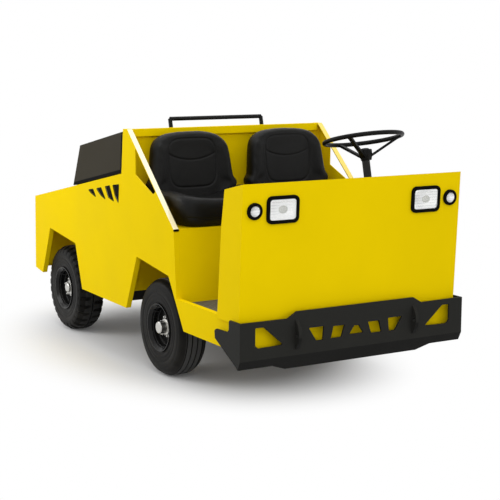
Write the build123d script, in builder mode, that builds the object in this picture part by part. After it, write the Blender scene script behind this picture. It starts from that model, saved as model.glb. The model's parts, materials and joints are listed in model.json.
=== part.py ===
from build123d import *
import os
from math import atan2, cos, radians, sin, tan

os.makedirs("parts", exist_ok=True)

# Millimetres. Front is -Y, the driver's left side is +X, the ground is Z = 0.
# Overall layout
WHEELBASE = 1350
TRACK = 1060
BODY_WIDTH = 1300
FRONT_OVERHANG = 1006
REAR_OVERHANG = 396
LUG_REACH = 36
HITCH_REACH = 114
FRONT_AXLE = (FRONT_OVERHANG + LUG_REACH - WHEELBASE - REAR_OVERHANG - HITCH_REACH) / 2
REAR_AXLE = FRONT_AXLE + WHEELBASE
TAIL = REAR_AXLE + REAR_OVERHANG

# Wheels and tyres
TYRE_DIAMETER = 540
TYRE_WIDTH = 172
RIM_DIAMETER = 236
RIM_LIP = 16
RIM_WALL = 7
DISC_AT = 26
DISC_T = 8
HUB_IN = 30
HUB_RADIUS = 46
HUB_BORE = 40
HUB_FACE_FRONT = 90
HUB_FACE_REAR = 68
HUB_CAP_FRONT = 34
HUB_CAP_REAR = 30
STUB_RADIUS = 22
STUB_END = 44
RUN_GAP = 0.06
SOFT_GAP = 0.3
AXLE_Z = TYRE_DIAMETER / 2
KINGPIN_OFFSET = TYRE_WIDTH / 2 + 26
KINGPIN_RADIUS = 13
STEER_ARM = 120
STEER_PIN = 8

# Body heights and sheet
SIDE_T = 30
SHEET = 6
FLOOR_Z = 455
SILL_TOP = 481
SILL_BOTTOM = 322
SEAT_BOX_TOP = 848
SEAT_BOX_FRONT = FRONT_AXLE - 252
SEAT_BOX_LEAN = 30
CAB_TOP = 1342
WALL_Y = FRONT_AXLE + 326
WALL_T = 12
WALL_LIP = 42
SAIL_TOP_Y = FRONT_AXLE + 302
DECK_FRONT = FRONT_AXLE + 386
DECK_FRONT_Z = 1088
DECK_REAR_Z = 826
TAIL_LEAN = 18
WELL_TOP = 664
INNER_X = BODY_WIDTH / 2 - SIDE_T
SKIN_X = BODY_WIDTH / 2 - SHEET

# Cowl
COWL_OVER = 12
COWL_HALF = BODY_WIDTH / 2 + COWL_OVER
COWL_T = 20
COWL_TOP = 1156
COWL_SIDE_BOTTOM = 466
COWL_BOTTOM = 330
COWL_LEAN = 33
FACE_TOP_Y = FRONT_AXLE - 992
FACE_REF_Z = 490

# Bumper
BUMPER_OVER = 22
BUMPER_HALF = COWL_HALF + BUMPER_OVER
BUMPER_T = 10
BUMPER_FOLD_Z = 297
BUMPER_TOP = 487
BUMPER_RAISED = 29
LIP_LEAN = 26
LIP_SHORT = 50
LIP_LONG = 81
LUG_X = 360
LUG_T = 18
LUG_HOLE = 11
LUG_Z = 400
LUG_HALF_HEIGHT = 75

# Lamps
HEADLAMP_X = 435
HEADLAMP_Z = 1024
HEADLAMP_W = 182
HEADLAMP_H = 136
HEADLAMP_CORNER = 29
LENS_W = 150
LENS_H = 102
LENS_CORNER = 14
MARKER_X = 594
MARKER_R = 41
MARKER_LENS_R = 26
BEZEL_DEPTH = 12

# Frame
RAIL_X = 215
RAIL_W = 50
RAIL_H = 90
RAIL_T = 6
RAIL_TOP = FLOOR_Z - SHEET
SPRING_W = 50
SPRING_T = 9
BEAM = 56

# Seats
SEAT_X = 315
SEAT_HALF = 288
SEAT_FRONT = FRONT_AXLE - 302
SEAT_REAR = FRONT_AXLE + 120
SEAT_FRONT_Z = 1008
SEAT_REAR_Z = 1042
BACK_Y = FRONT_AXLE + 98.6
BACK_T = 96
BACK_TILT = 7.8
BACK_TOP = 1338

# Hood over the battery bay
HOOD_HALF = 645
HOOD_WALL = 10
HOOD_GAP = 6
HOOD_LENGTH = 710
HOOD_HEIGHT = 235
HINGE_PIN_R = 5
HINGE_X = 420
GRIP_HALF = 306
GRIP_TUBE = 12
GRIP_RISE = 74
GRIP_LEAN = 18

# Steering wheel
COLUMN_X = 306
COLUMN_TILT = 13.2
RIM_CENTRE_Y = FRONT_AXLE - 610
RIM_CENTRE_Z = 1315
STEER_R = 208
STEER_TUBE = 12
HUB_TOP_DROP = 58
HUB_MID_DROP = 88
HUB_LOW_DROP = 117
SPOKE_ANGLES = (94, 214, 334)
SPOKE_DROP = 108
SPOKE_W = 20
SPOKE_T = 15
STEER_HUB_R = 33
STEER_STUB_R = 8
STEER_STUB = 34
COLUMN_R = 21

# Hitch
HITCH_Z = 400
HITCH_HOLE = 16
HITCH_PLATE = 14
HITCH_OPEN = 60
HITCH_W = 110


def face_y(z):
    """Outer face of the cowl at height z."""
    return FACE_TOP_Y + COWL_LEAN * (COWL_TOP - z) / (COWL_TOP - FACE_REF_Z)


def deck_z(y):
    """Top of the rear deck at y."""
    return DECK_FRONT_Z - (y - DECK_FRONT) * DECK_FALL


def tail_y(z):
    """Outer face of the tail panel at height z."""
    return TAIL - TAIL_LEAN * (z - TAIL_BOTTOM) / (DECK_REAR_Z - TAIL_BOTTOM)


def seat_box_y(z):
    """Front face of the seat box at height z."""
    return SEAT_BOX_FRONT - SEAT_BOX_LEAN * (SEAT_BOX_TOP - z) / (SEAT_BOX_TOP - FLOOR_Z)


def sail_z(y):
    """Top of the sloping sail at y."""
    fall = (CAB_TOP - SEAT_BOX_TOP) / (SAIL_TOP_Y - SEAT_BOX_FRONT)
    return CAB_TOP - (SAIL_TOP_Y - y) * fall


TAIL_BOTTOM = SILL_BOTTOM + 29
DECK_REAR = TAIL - TAIL_LEAN
DECK_FALL = (DECK_FRONT_Z - DECK_REAR_Z) / (DECK_REAR - DECK_FRONT)


def block(x0, x1, y0, y1, z0, z1, mode=Mode.ADD):
    """Add a box between two corners to the open part."""
    with Locations(((x0 + x1) / 2, (y0 + y1) / 2, (z0 + z1) / 2)):
        Box(x1 - x0, y1 - y0, z1 - z0, mode=mode)


def slab(x0, x1, points, mode=Mode.ADD):
    """Add a plate between two X planes with a (y, z) outline to the open part."""
    with BuildSketch(Plane.YZ.offset(x0)) as profile:
        with BuildLine():
            Polyline(*points, close=True)
        make_face()
    extrude(profile.sketch, amount=x1 - x0, mode=mode)


def save(item, name):
    item.label = name
    export_step(item, "parts/" + name + ".step")


# Side walls: thin skins with an inward flange all round, arches, sill, sail and vents
ARCH_FRONT = [(-360, SILL_BOTTOM), (-188, 591), (199, 640), (345, SILL_BOTTOM)]
ARCH_REAR = [(-374, SILL_BOTTOM + 6), (-279, 598), (129, 644), (272, SILL_BOTTOM + 10)]
SILL_FRONT = FRONT_AXLE - 850
SILL_STEP = FRONT_AXLE - 739
outline = [(SILL_FRONT, SILL_BOTTOM)]
outline += [(FRONT_AXLE + y, z) for y, z in ARCH_FRONT]
outline += [(REAR_AXLE + y, z) for y, z in ARCH_REAR]
outline += [
    (TAIL, TAIL_BOTTOM),
    (DECK_REAR, DECK_REAR_Z),
    (DECK_FRONT, DECK_FRONT_Z),
    (FRONT_AXLE + 358, CAB_TOP),
    (SAIL_TOP_Y, CAB_TOP),
    (SEAT_BOX_FRONT, SEAT_BOX_TOP),
    (seat_box_y(SILL_TOP), SILL_TOP),
    (SILL_STEP, SILL_TOP),
    (SILL_STEP, COWL_SIDE_BOTTOM - 2),
    (SILL_FRONT, COWL_SIDE_BOTTOM - 2),
]
# The window follows the sloping flange from its low corner to its top edge
WINDOW_TOP = 1238
WINDOW_REAR = FRONT_AXLE + 204
WINDOW_LOW = [(FRONT_AXLE + 205, 1098), (FRONT_AXLE - 10, 1008)]
WINDOW_TIP = FRONT_AXLE - 42
slope_drop = SHEET / cos(atan2(CAB_TOP - SEAT_BOX_TOP, SAIL_TOP_Y - SEAT_BOX_FRONT))
window_top_y = SAIL_TOP_Y - (CAB_TOP - slope_drop - WINDOW_TOP) / (sail_z(1) - sail_z(0))
window = [(window_top_y, WINDOW_TOP), (WINDOW_REAR, WINDOW_TOP), *WINDOW_LOW]
window += [(WINDOW_TIP, sail_z(WINDOW_TIP) - slope_drop)]
# Vents, one line each: rear top, front top, front bottom, rear bottom as (y, z) from the front axle
VENTS = [
    ((845, 950), (787, 959), (752, 923), (809, 937)),
    ((728, 969), (671, 979), (616, 923), (671, 938)),
    ((606, 992), (551, 1002), (498, 923), (566, 938)),
    ((501, 1009), (424, 1020), (434, 922), (476, 958)),
]


def side_wall(name, side):
    half = BODY_WIDTH / 2
    with BuildPart() as wall:
        slab(side * half, side * INNER_X, outline)
        with BuildSketch(Plane.YZ.offset(side * SKIN_X)) as recess:
            with BuildLine():
                Polyline(*outline, close=True)
            make_face()
            offset(amount=-SHEET, kind=Kind.INTERSECTION)
        extrude(recess.sketch, amount=side * (INNER_X - SKIN_X), mode=Mode.SUBTRACT)
        for hole in [window] + [[(FRONT_AXLE + y, z) for y, z in vent] for vent in VENTS]:
            slab(side * half, side * SKIN_X, hole, mode=Mode.SUBTRACT)
    save(wall.part, name)


side_wall("side_wall_right", -1)
side_wall("side_wall_left", 1)

# Front cowl: leaning face plate and two side returns
with BuildPart() as cowl:
    with BuildSketch(Plane.YZ.offset(-COWL_HALF)):
        with BuildLine():
            Polyline(
                (face_y(COWL_TOP), COWL_TOP),
                (face_y(COWL_BOTTOM), COWL_BOTTOM),
                (face_y(COWL_BOTTOM) + COWL_T, COWL_BOTTOM),
                (face_y(COWL_TOP) + COWL_T, COWL_TOP - 5),
                close=True,
            )
        make_face()
    extrude(amount=2 * COWL_HALF)
    for x in (-COWL_HALF, COWL_HALF - COWL_T):
        with BuildSketch(Plane.YZ.offset(x)):
            with BuildLine():
                Polyline(
                    (face_y(COWL_TOP), COWL_TOP),
                    (face_y(COWL_SIDE_BOTTOM), COWL_SIDE_BOTTOM),
                    (FRONT_AXLE - 742, COWL_SIDE_BOTTOM),
                    (FRONT_AXLE - 786, 936),
                    (FRONT_AXLE - 818, 1116),
                    close=True,
                )
            make_face()
        extrude(amount=COWL_T)
save(cowl.part, "front_cowl")

# Dash inside the cowl
DASH_DEPTH = 178
DASH_REAR = FACE_TOP_Y + DASH_DEPTH
DASH_LOW = 900
DASH_HIGH = 1040
dash_half = COWL_HALF - COWL_T


def dash_y(z):
    """Rear face of the dash at height z."""
    return DASH_REAR + 12 * (DASH_HIGH - z) / (DASH_HIGH - DASH_LOW)


with BuildPart() as dash:
    with BuildSketch(Plane.YZ.offset(-dash_half)):
        with BuildLine():
            Polyline(
                (face_y(1090) + COWL_T + 0.1, 1090),
                (face_y(DASH_LOW) + COWL_T + 0.1, DASH_LOW),
                (dash_y(DASH_LOW), DASH_LOW),
                (DASH_REAR, DASH_HIGH),
                close=True,
            )
        make_face()
    extrude(amount=2 * dash_half)
save(dash.part, "dash_panel")

# Floor with the sill edges, leaning seat box and back wall
SILL_CLEAR = SILL_FRONT + SHEET + 1
with BuildPart() as floor:
    front = face_y(FLOOR_Z - SHEET) + COWL_T + 0.1
    rear = seat_box_y(FLOOR_Z) + SHEET
    block(-INNER_X, INNER_X, front, rear, FLOOR_Z - SHEET, FLOOR_Z)
    block(-SKIN_X, SKIN_X, SILL_CLEAR, rear - 20, FLOOR_Z - SHEET, FLOOR_Z)
save(floor.part, "floor_plate")

with BuildPart() as seat_box:
    slab(
        -INNER_X,
        INNER_X,
        [
            (seat_box_y(FLOOR_Z), FLOOR_Z),
            (SEAT_BOX_FRONT, SEAT_BOX_TOP),
            (WALL_Y, SEAT_BOX_TOP),
            (WALL_Y, SEAT_BOX_TOP - SHEET),
            (seat_box_y(SEAT_BOX_TOP - SHEET) + SHEET, SEAT_BOX_TOP - SHEET),
            (seat_box_y(FLOOR_Z) + SHEET, FLOOR_Z),
        ],
    )
    block(-SKIN_X, SKIN_X, SEAT_BOX_FRONT + 16, WALL_Y, SEAT_BOX_TOP - SHEET, SEAT_BOX_TOP)
save(seat_box.part, "seat_box")

with BuildPart() as wall:
    block(-SKIN_X, SKIN_X, WALL_Y, WALL_Y + WALL_T, WELL_TOP, CAB_TOP - SHEET)
    block(-INNER_X, INNER_X, SAIL_TOP_Y + 3, WALL_Y + WALL_T, CAB_TOP - WALL_LIP, CAB_TOP)
save(wall.part, "cab_back_wall")

# Rear deck with the battery bay opening
BAY_HALF = 540
BAY_LENGTH = 580
BAY_FRONT = DECK_FRONT + 60
BAY_REAR = BAY_FRONT + BAY_LENGTH
with BuildPart() as deck:
    with BuildSketch(Plane.YZ.offset(-INNER_X)):
        with BuildLine():
            Polyline(
                (WALL_Y + 12, deck_z(DECK_FRONT)),
                (DECK_FRONT, deck_z(DECK_FRONT)),
                (DECK_REAR - SHEET, deck_z(DECK_REAR - SHEET)),
                (DECK_REAR - SHEET, deck_z(DECK_REAR - SHEET) - SHEET),
                (DECK_FRONT, deck_z(DECK_FRONT) - SHEET),
                (WALL_Y + 12, deck_z(DECK_FRONT) - SHEET),
                close=True,
            )
        make_face()
    extrude(amount=2 * INNER_X)
    block(-BAY_HALF, BAY_HALF, BAY_FRONT, BAY_REAR, 700, 1200, mode=Mode.SUBTRACT)
save(deck.part, "rear_deck")

with BuildPart() as tail:
    with BuildSketch(Plane.YZ.offset(-INNER_X)):
        with BuildLine():
            Polyline(
                (TAIL, TAIL_BOTTOM),
                (DECK_REAR, DECK_REAR_Z),
                (DECK_REAR - SHEET, DECK_REAR_Z),
                (TAIL - SHEET, TAIL_BOTTOM),
                close=True,
            )
        make_face()
    extrude(amount=2 * INNER_X)
save(tail.part, "tail_panel")

# Wheel wells
FRONT_WELL_IN = 285
REAR_WELL_IN = 430
BULKHEAD_Y = FRONT_AXLE + 420
REAR_WELL_FRONT = REAR_AXLE - 382
REAR_WELL_BACK = REAR_AXLE + 290
front_side = [
    (seat_box_y(FLOOR_Z) + SHEET, RAIL_TOP),
    (BULKHEAD_Y, RAIL_TOP),
    (BULKHEAD_Y, WELL_TOP),
    (seat_box_y(WELL_TOP) + SHEET, WELL_TOP),
    (seat_box_y(FLOOR_Z) + SHEET, FLOOR_Z),
]
with BuildPart() as front_wells:
    for s in (-1, 1):
        a, b = sorted((s * FRONT_WELL_IN, s * SKIN_X))
        slab(s * FRONT_WELL_IN, s * (FRONT_WELL_IN + SHEET), front_side)
        block(a, b, seat_box_y(WELL_TOP) + SHEET, BULKHEAD_Y, WELL_TOP - SHEET, WELL_TOP)
        block(a, b, BULKHEAD_Y - SHEET, BULKHEAD_Y, 400, WELL_TOP)
save(front_wells.part, "front_wheel_wells")

with BuildPart() as rear_wells:
    for s in (-1, 1):
        a, b = sorted((s * REAR_WELL_IN, s * SKIN_X))
        c, d = sorted((s * REAR_WELL_IN, s * (REAR_WELL_IN + SHEET)))
        block(a, b, REAR_WELL_FRONT, REAR_WELL_BACK, WELL_TOP - SHEET, WELL_TOP)
        block(c, d, REAR_WELL_FRONT, REAR_WELL_BACK, 385, WELL_TOP)
        block(a, b, REAR_WELL_FRONT, REAR_WELL_FRONT + SHEET, 360, WELL_TOP)
        block(a, b, REAR_WELL_BACK - SHEET, REAR_WELL_BACK, 385, WELL_TOP)
save(rear_wells.part, "rear_wheel_wells")

# Frame: two channel rails, cross members and outriggers
RAIL_FRONT = face_y(RAIL_TOP - RAIL_H) + COWL_T
RAIL_BACK = tail_y(RAIL_TOP) - SHEET
CROSS_AT = [RAIL_FRONT + 30, SEAT_BOX_FRONT - 40, BULKHEAD_Y + 20, REAR_AXLE - 330, RAIL_BACK - 30]
with BuildPart() as frame:
    for s in (-1, 1):
        outer = s * (RAIL_X + RAIL_W / 2)
        inner = s * (RAIL_X - RAIL_W / 2)
        a, b = sorted((outer, inner))
        c, d = sorted((inner, s * (RAIL_X - RAIL_W / 2 + RAIL_T)))
        block(a, b, RAIL_FRONT, RAIL_BACK, RAIL_TOP - RAIL_T, RAIL_TOP)
        block(a, b, RAIL_FRONT, RAIL_BACK, RAIL_TOP - RAIL_H, RAIL_TOP - RAIL_H + RAIL_T)
        block(c, d, RAIL_FRONT, RAIL_BACK, RAIL_TOP - RAIL_H, RAIL_TOP)
        e, f = sorted((outer, s * SKIN_X))
        for y in (BULKHEAD_Y, REAR_WELL_FRONT - 40):
            block(e, f, y, y + 40, 345, 400)
    for y in CROSS_AT:
        block(-RAIL_X, RAIL_X, y - 20, y + 20, RAIL_TOP - RAIL_H + 8, RAIL_TOP - 8)
save(frame.part, "chassis_frame")

# Battery block on the rails
BATTERY_HALF = 520
BATTERY_TOP = 1040
BATTERY_FRONT = BULKHEAD_Y + 50
BATTERY_LENGTH = 438
with BuildPart() as battery:
    block(-BATTERY_HALF, BATTERY_HALF, BATTERY_FRONT, BATTERY_FRONT + BATTERY_LENGTH, RAIL_TOP, BATTERY_TOP)
save(battery.part, "battery")

# Front bumper: plate with cut-outs, folded lip and side plates
BUMPER_Y = FRONT_AXLE - FRONT_OVERHANG
plate = [(-BUMPER_HALF, BUMPER_FOLD_Z), (BUMPER_HALF, BUMPER_FOLD_Z), (BUMPER_HALF, BUMPER_TOP)]
plate += [(413, BUMPER_TOP - 2), (360, BUMPER_TOP + BUMPER_RAISED)]
plate += [(-360, BUMPER_TOP + BUMPER_RAISED), (-413, BUMPER_TOP - 2), (-BUMPER_HALF, BUMPER_TOP)]
CORNER_CUT = [(-597, 457), (-550, 457), (-433, 357), (-580, 354), (-598, 370)]
# Centre row, one line per cut: top left x, top right x, bottom right x, bottom left x, top z, bottom z
ROW = [
    (-289, -197, -204, -242, 425, 355),
    (-141, -71, -92, -157, 418, 357),
    (-14, 14, 45, -45, 408, 365),
    (71, 141, 157, 92, 418, 357),
    (197, 289, 242, 204, 425, 355),
]
lip_turn = radians(LIP_LEAN)
lip = [(-BUMPER_HALF, 0), (-BUMPER_HALF, -LIP_SHORT), (-488, -LIP_SHORT), (-405, -LIP_LONG)]
lip += [(-x, v) for x, v in reversed(lip)]
# Side plate as (distance behind the bumper face, z)
SIDE_PLATE = [(0, BUMPER_FOLD_Z), (0, BUMPER_TOP), (101, BUMPER_TOP), (107, 478), (107, 440), (124, 424)]
SIDE_PLATE += [(236, 420), (251, 408), (247, 371), (22, 256)]
with BuildPart() as bumper:
    with BuildSketch(Plane.XZ.offset(-BUMPER_Y - BUMPER_T)):
        with BuildLine():
            Polyline(*plate, close=True)
        make_face()
    extrude(amount=BUMPER_T)
    for s in (-1, 1):
        with BuildSketch(Plane.XZ.offset(-BUMPER_Y - BUMPER_T)) as corner:
            with BuildLine():
                Polyline(*[(s * x, z) for x, z in CORNER_CUT], close=True)
            make_face()
            fillet(corner.vertices(), 6)
        extrude(corner.sketch, amount=BUMPER_T, mode=Mode.SUBTRACT)
    with BuildSketch(Plane.XZ.offset(-BUMPER_Y - BUMPER_T)) as row:
        for x0, x1, x2, x3, top, low in ROW:
            with BuildLine():
                Polyline((x0, top), (x1, top), (x2, low), (x3, low), close=True)
            make_face()
        fillet(row.vertices(), 4)
    extrude(row.sketch, amount=BUMPER_T, mode=Mode.SUBTRACT)
    # Lip folded back under the plate, deeper between the corners
    fold = Plane(
        origin=(0, BUMPER_Y, BUMPER_FOLD_Z),
        x_dir=(1, 0, 0),
        z_dir=Vector(0, -cos(lip_turn), -sin(lip_turn)),
    )
    with BuildSketch(fold) as folded:
        with BuildLine():
            Polyline(*lip, close=True)
        make_face()
    extrude(folded.sketch, amount=-BUMPER_T)
    side_plate = [(BUMPER_Y + back, z) for back, z in SIDE_PLATE]
    slab(-BUMPER_HALF, -BUMPER_HALF + BUMPER_T, side_plate)
    slab(BUMPER_HALF - BUMPER_T, BUMPER_HALF, side_plate)
    # Brackets back to the cowl in front of the rails
    for s in (-1, 1):
        a, b = sorted((s * (RAIL_X - RAIL_W / 2), s * (RAIL_X + RAIL_W / 2)))
        near = BUMPER_Y + BUMPER_T
        slab(a, b, [(near, 434), (face_y(434), 434), (face_y(449), 449), (near, 449)])
save(bumper.part, "front_bumper")

# Pull lugs on the bumper face
with BuildPart() as lugs:
    for x in (-LUG_X, LUG_X):
        with BuildSketch(Plane.YZ.offset(x - LUG_T / 2)):
            with BuildLine():
                Polyline(
                    (BUMPER_Y, LUG_Z - LUG_HALF_HEIGHT),
                    (BUMPER_Y, LUG_Z + LUG_HALF_HEIGHT),
                )
                ThreePointArc(
                    (BUMPER_Y, LUG_Z + LUG_HALF_HEIGHT),
                    (BUMPER_Y - LUG_REACH, LUG_Z),
                    (BUMPER_Y, LUG_Z - LUG_HALF_HEIGHT),
                )
            make_face()
            with Locations((BUMPER_Y - LUG_REACH * 0.5, LUG_Z)):
                Circle(LUG_HOLE, mode=Mode.SUBTRACT)
        extrude(amount=LUG_T)
save(lugs.part, "pull_lugs")

# Lamps on the leaning face
lean = Vector(0, -(COWL_TOP - FACE_REF_Z), -COWL_LEAN).normalized()
face = Plane(origin=(0, face_y(HEADLAMP_Z), HEADLAMP_Z), x_dir=(1, 0, 0), z_dir=lean)
with BuildPart() as head_bezels:
    with BuildSketch(face):
        with Locations((-HEADLAMP_X, 0), (HEADLAMP_X, 0)):
            RectangleRounded(HEADLAMP_W, HEADLAMP_H, HEADLAMP_CORNER)
            RectangleRounded(LENS_W, LENS_H, LENS_CORNER, mode=Mode.SUBTRACT)
    extrude(amount=BEZEL_DEPTH)
save(head_bezels.part, "headlamp_bezels")

with BuildPart() as head_lenses:
    with BuildSketch(face):
        with Locations((-HEADLAMP_X, 0), (HEADLAMP_X, 0)):
            RectangleRounded(LENS_W, LENS_H, LENS_CORNER)
    extrude(amount=BEZEL_DEPTH - 5)
save(head_lenses.part, "headlamp_lenses")

with BuildPart() as mark_bezels:
    with BuildSketch(face):
        with Locations((-MARKER_X, 0), (MARKER_X, 0)):
            Circle(MARKER_R)
            Circle(MARKER_LENS_R, mode=Mode.SUBTRACT)
    extrude(amount=BEZEL_DEPTH)
save(mark_bezels.part, "marker_bezels")

with BuildPart() as mark_lenses:
    with BuildSketch(face):
        with Locations((-MARKER_X, 0), (MARKER_X, 0)):
            Circle(MARKER_LENS_R)
    extrude(amount=BEZEL_DEPTH - 3)
save(mark_lenses.part, "marker_lenses")

# Tail lamps on the tail panel
tail_lean = Vector(0, DECK_REAR_Z - TAIL_BOTTOM, TAIL_LEAN).normalized()
TAIL_LAMP_Z = 740
tail_face = Plane(
    origin=(0, tail_y(TAIL_LAMP_Z), TAIL_LAMP_Z),
    x_dir=(-1, 0, 0),
    z_dir=tail_lean,
)
with BuildPart() as tail_lamps:
    with BuildSketch(tail_face):
        with Locations((-540, 0), (540, 0)):
            Circle(50)
    extrude(amount=18)
save(tail_lamps.part, "tail_lamps")

# Seats: tapered cushions that rise to the back, and crowned backs on the seat box
CUSHION_LOW = (480, 340)
BACK_LOW_HALF = 235
BACK_FLARE_HALF = 290
BACK_SHOULDER = 248
lean_back = tan(radians(BACK_TILT))
for name, x in (("right", -SEAT_X), ("left", SEAT_X)):
    seat_low = SEAT_BOX_TOP + SOFT_GAP
    seat_long = SEAT_REAR - SEAT_FRONT
    with BuildPart() as cushion:
        with BuildSketch(Plane.XY.offset(seat_low)):
            with Locations((x, BACK_Y - SOFT_GAP - CUSHION_LOW[1] / 2)):
                RectangleRounded(*CUSHION_LOW, 70)
        with BuildSketch(Plane.XY.offset(SEAT_REAR_Z + 10)):
            with Locations((x, SEAT_FRONT + seat_long / 2)):
                RectangleRounded(2 * SEAT_HALF, seat_long, 100)
        loft()
        slab(
            x - SEAT_HALF - 5,
            x + SEAT_HALF + 5,
            [
                (SEAT_FRONT - 5, SEAT_FRONT_Z - 8),
                (SEAT_REAR + 5, SEAT_REAR_Z),
                (SEAT_REAR + 5, SEAT_REAR_Z + 20),
                (SEAT_FRONT - 5, SEAT_REAR_Z + 20),
            ],
            mode=Mode.SUBTRACT,
        )
        fillet(cushion.faces().sort_by(Axis.Z)[-1].edges(), 26)
    save(cushion.part, "seat_cushion_" + name)
    with BuildPart() as back:
        with BuildSketch(Plane.XZ.offset(-BACK_Y - 250)) as front:
            with BuildLine():
                Polyline(
                    (x - BACK_SHOULDER, 1235),
                    (x - BACK_FLARE_HALF + 20, 1070),
                    (x - BACK_FLARE_HALF, 1030),
                    (x - BACK_LOW_HALF, 930),
                    (x - BACK_LOW_HALF, seat_low),
                    (x + BACK_LOW_HALF, seat_low),
                    (x + BACK_LOW_HALF, 930),
                    (x + BACK_FLARE_HALF, 1030),
                    (x + BACK_FLARE_HALF - 20, 1070),
                    (x + BACK_SHOULDER, 1235),
                )
                ThreePointArc((x + BACK_SHOULDER, 1235), (x + 232, 1280), (x + 196, BACK_TOP - 30))
                ThreePointArc((x + 196, BACK_TOP - 30), (x, BACK_TOP), (x - 196, BACK_TOP - 30))
                ThreePointArc((x - 196, BACK_TOP - 30), (x - 232, 1280), (x - BACK_SHOULDER, 1235))
            make_face()
        extrude(front.sketch, amount=300)
        y_top = BACK_Y + (BACK_TOP + 5 - seat_low) * lean_back
        slab(
            x - SEAT_HALF - 20,
            x + SEAT_HALF + 20,
            [
                (BACK_Y, seat_low),
                (BACK_Y + BACK_T, seat_low),
                (y_top + BACK_T, BACK_TOP + 5),
                (y_top, BACK_TOP + 5),
            ],
            mode=Mode.INTERSECT,
        )
    save(back.part, "seat_back_" + name)

# Hood over the battery bay, its lift bar and hinges
HOOD_REAR = DECK_FRONT + HOOD_LENGTH
HINGE_Y = HOOD_REAR + 16
HINGE_Z = deck_z(HINGE_Y) + 14
with BuildPart() as hood:
    outer = [
        (DECK_FRONT, deck_z(DECK_FRONT) + HOOD_GAP),
        (HOOD_REAR, deck_z(HOOD_REAR) + HOOD_GAP),
        (HOOD_REAR - 115, deck_z(HOOD_REAR - 115) + HOOD_HEIGHT),
        (DECK_FRONT - 20, deck_z(DECK_FRONT - 20) + HOOD_HEIGHT),
    ]
    with BuildSketch(Plane.YZ.offset(-HOOD_HALF)):
        with BuildLine():
            Polyline(*outer, close=True)
        make_face()
    extrude(amount=2 * HOOD_HALF)
    inner = [
        (DECK_FRONT + HOOD_WALL, deck_z(DECK_FRONT) - 20),
        (HOOD_REAR - HOOD_WALL, deck_z(HOOD_REAR) - 20),
        (HOOD_REAR - HOOD_WALL, deck_z(HOOD_REAR) + HOOD_GAP),
        (HOOD_REAR - 115 - HOOD_WALL, deck_z(HOOD_REAR - 115) + HOOD_HEIGHT - HOOD_WALL),
        (DECK_FRONT - 20 + HOOD_WALL, deck_z(DECK_FRONT - 20) + HOOD_HEIGHT - HOOD_WALL),
    ]
    with BuildSketch(Plane.YZ.offset(-HOOD_HALF + HOOD_WALL)):
        with BuildLine():
            Polyline(*inner, close=True)
        make_face()
    extrude(amount=2 * (HOOD_HALF - HOOD_WALL), mode=Mode.SUBTRACT)
    for x in (-HINGE_X, HINGE_X):
        with BuildSketch(Plane.YZ.offset(x - 20)):
            with Locations((HINGE_Y, HINGE_Z)):
                Circle(10)
            with BuildLine():
                Polyline(
                    (HINGE_Y, HINGE_Z + 10),
                    (HOOD_REAR - 10, HINGE_Z + 16),
                    (HOOD_REAR - 4, HINGE_Z - 4),
                    (HINGE_Y, HINGE_Z - 8),
                    close=True,
                )
            make_face()
            with Locations((HINGE_Y, HINGE_Z)):
                Circle(HINGE_PIN_R + RUN_GAP, mode=Mode.SUBTRACT)
        extrude(amount=40)
save(hood.part, "hood")

with BuildPart() as hinges:
    for x in (-HINGE_X, HINGE_X):
        with BuildSketch(Plane.YZ.offset(x - 34)):
            with Locations((HINGE_Y, HINGE_Z)):
                Circle(HINGE_PIN_R)
        extrude(amount=68)
        for x0 in (x - 34, x + 21):
            with BuildSketch(Plane.YZ.offset(x0)):
                with BuildLine():
                    Polyline(
                        (HINGE_Y - 9, deck_z(HINGE_Y - 9)),
                        (HINGE_Y - 9, HINGE_Z),
                        (HINGE_Y, HINGE_Z + 9),
                        (HINGE_Y + 9, HINGE_Z),
                        (HINGE_Y + 26, deck_z(HINGE_Y + 26)),
                        close=True,
                    )
                make_face()
            extrude(amount=13)
save(hinges.part, "hood_hinges")

GRIP_Y = DECK_FRONT + 66
grip_top = deck_z(GRIP_Y) + HOOD_HEIGHT + GRIP_RISE
grip_foot = grip_top - GRIP_RISE
grip_start = Plane(origin=(-GRIP_HALF, GRIP_Y - GRIP_LEAN, grip_foot), z_dir=(0, GRIP_LEAN, GRIP_RISE))
with BuildPart() as grip:
    with BuildLine() as path:
        Polyline(
            (-GRIP_HALF, GRIP_Y - GRIP_LEAN, grip_foot),
            (-GRIP_HALF, GRIP_Y, grip_top),
            (GRIP_HALF, GRIP_Y, grip_top),
            (GRIP_HALF, GRIP_Y - GRIP_LEAN, grip_foot),
        )
    with BuildSketch(grip_start):
        Circle(GRIP_TUBE)
    sweep(path=path.wires()[0], transition=Transition.ROUND)
grip_body = grip.part - hood.part
save(grip_body, "lift_bar")

# Steering column and wheel
tilt = radians(COLUMN_TILT)
axis_up = Vector(0, sin(tilt), cos(tilt))
axis_back = Vector(0, cos(tilt), -sin(tilt))
rim_centre = Vector(COLUMN_X, RIM_CENTRE_Y, RIM_CENTRE_Z)
hub_low = rim_centre - axis_up * HUB_LOW_DROP
column_len = (hub_low.Z - FLOOR_Z) / cos(tilt)
foot = hub_low - axis_up * column_len
with BuildPart() as column:
    with BuildSketch(Plane(origin=foot - axis_up * 30, x_dir=(1, 0, 0), z_dir=axis_up)):
        Circle(COLUMN_R)
    extrude(amount=column_len + 30 - 1)
    with BuildSketch(Plane(origin=hub_low - axis_up, x_dir=(1, 0, 0), z_dir=axis_up)):
        Circle(STEER_STUB_R)
    extrude(amount=STEER_STUB)
    bracket_y = foot.Y + (970 - FLOOR_Z) * tan(tilt)
    slab(
        COLUMN_X - 30,
        COLUMN_X + 30,
        [(dash_y(955), 955), (dash_y(985), 985), (bracket_y, 985), (bracket_y, 955)],
    )
    split(bisect_by=Plane.XY.offset(FLOOR_Z), keep=Keep.TOP)
save(column.part, "steering_column")

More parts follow.
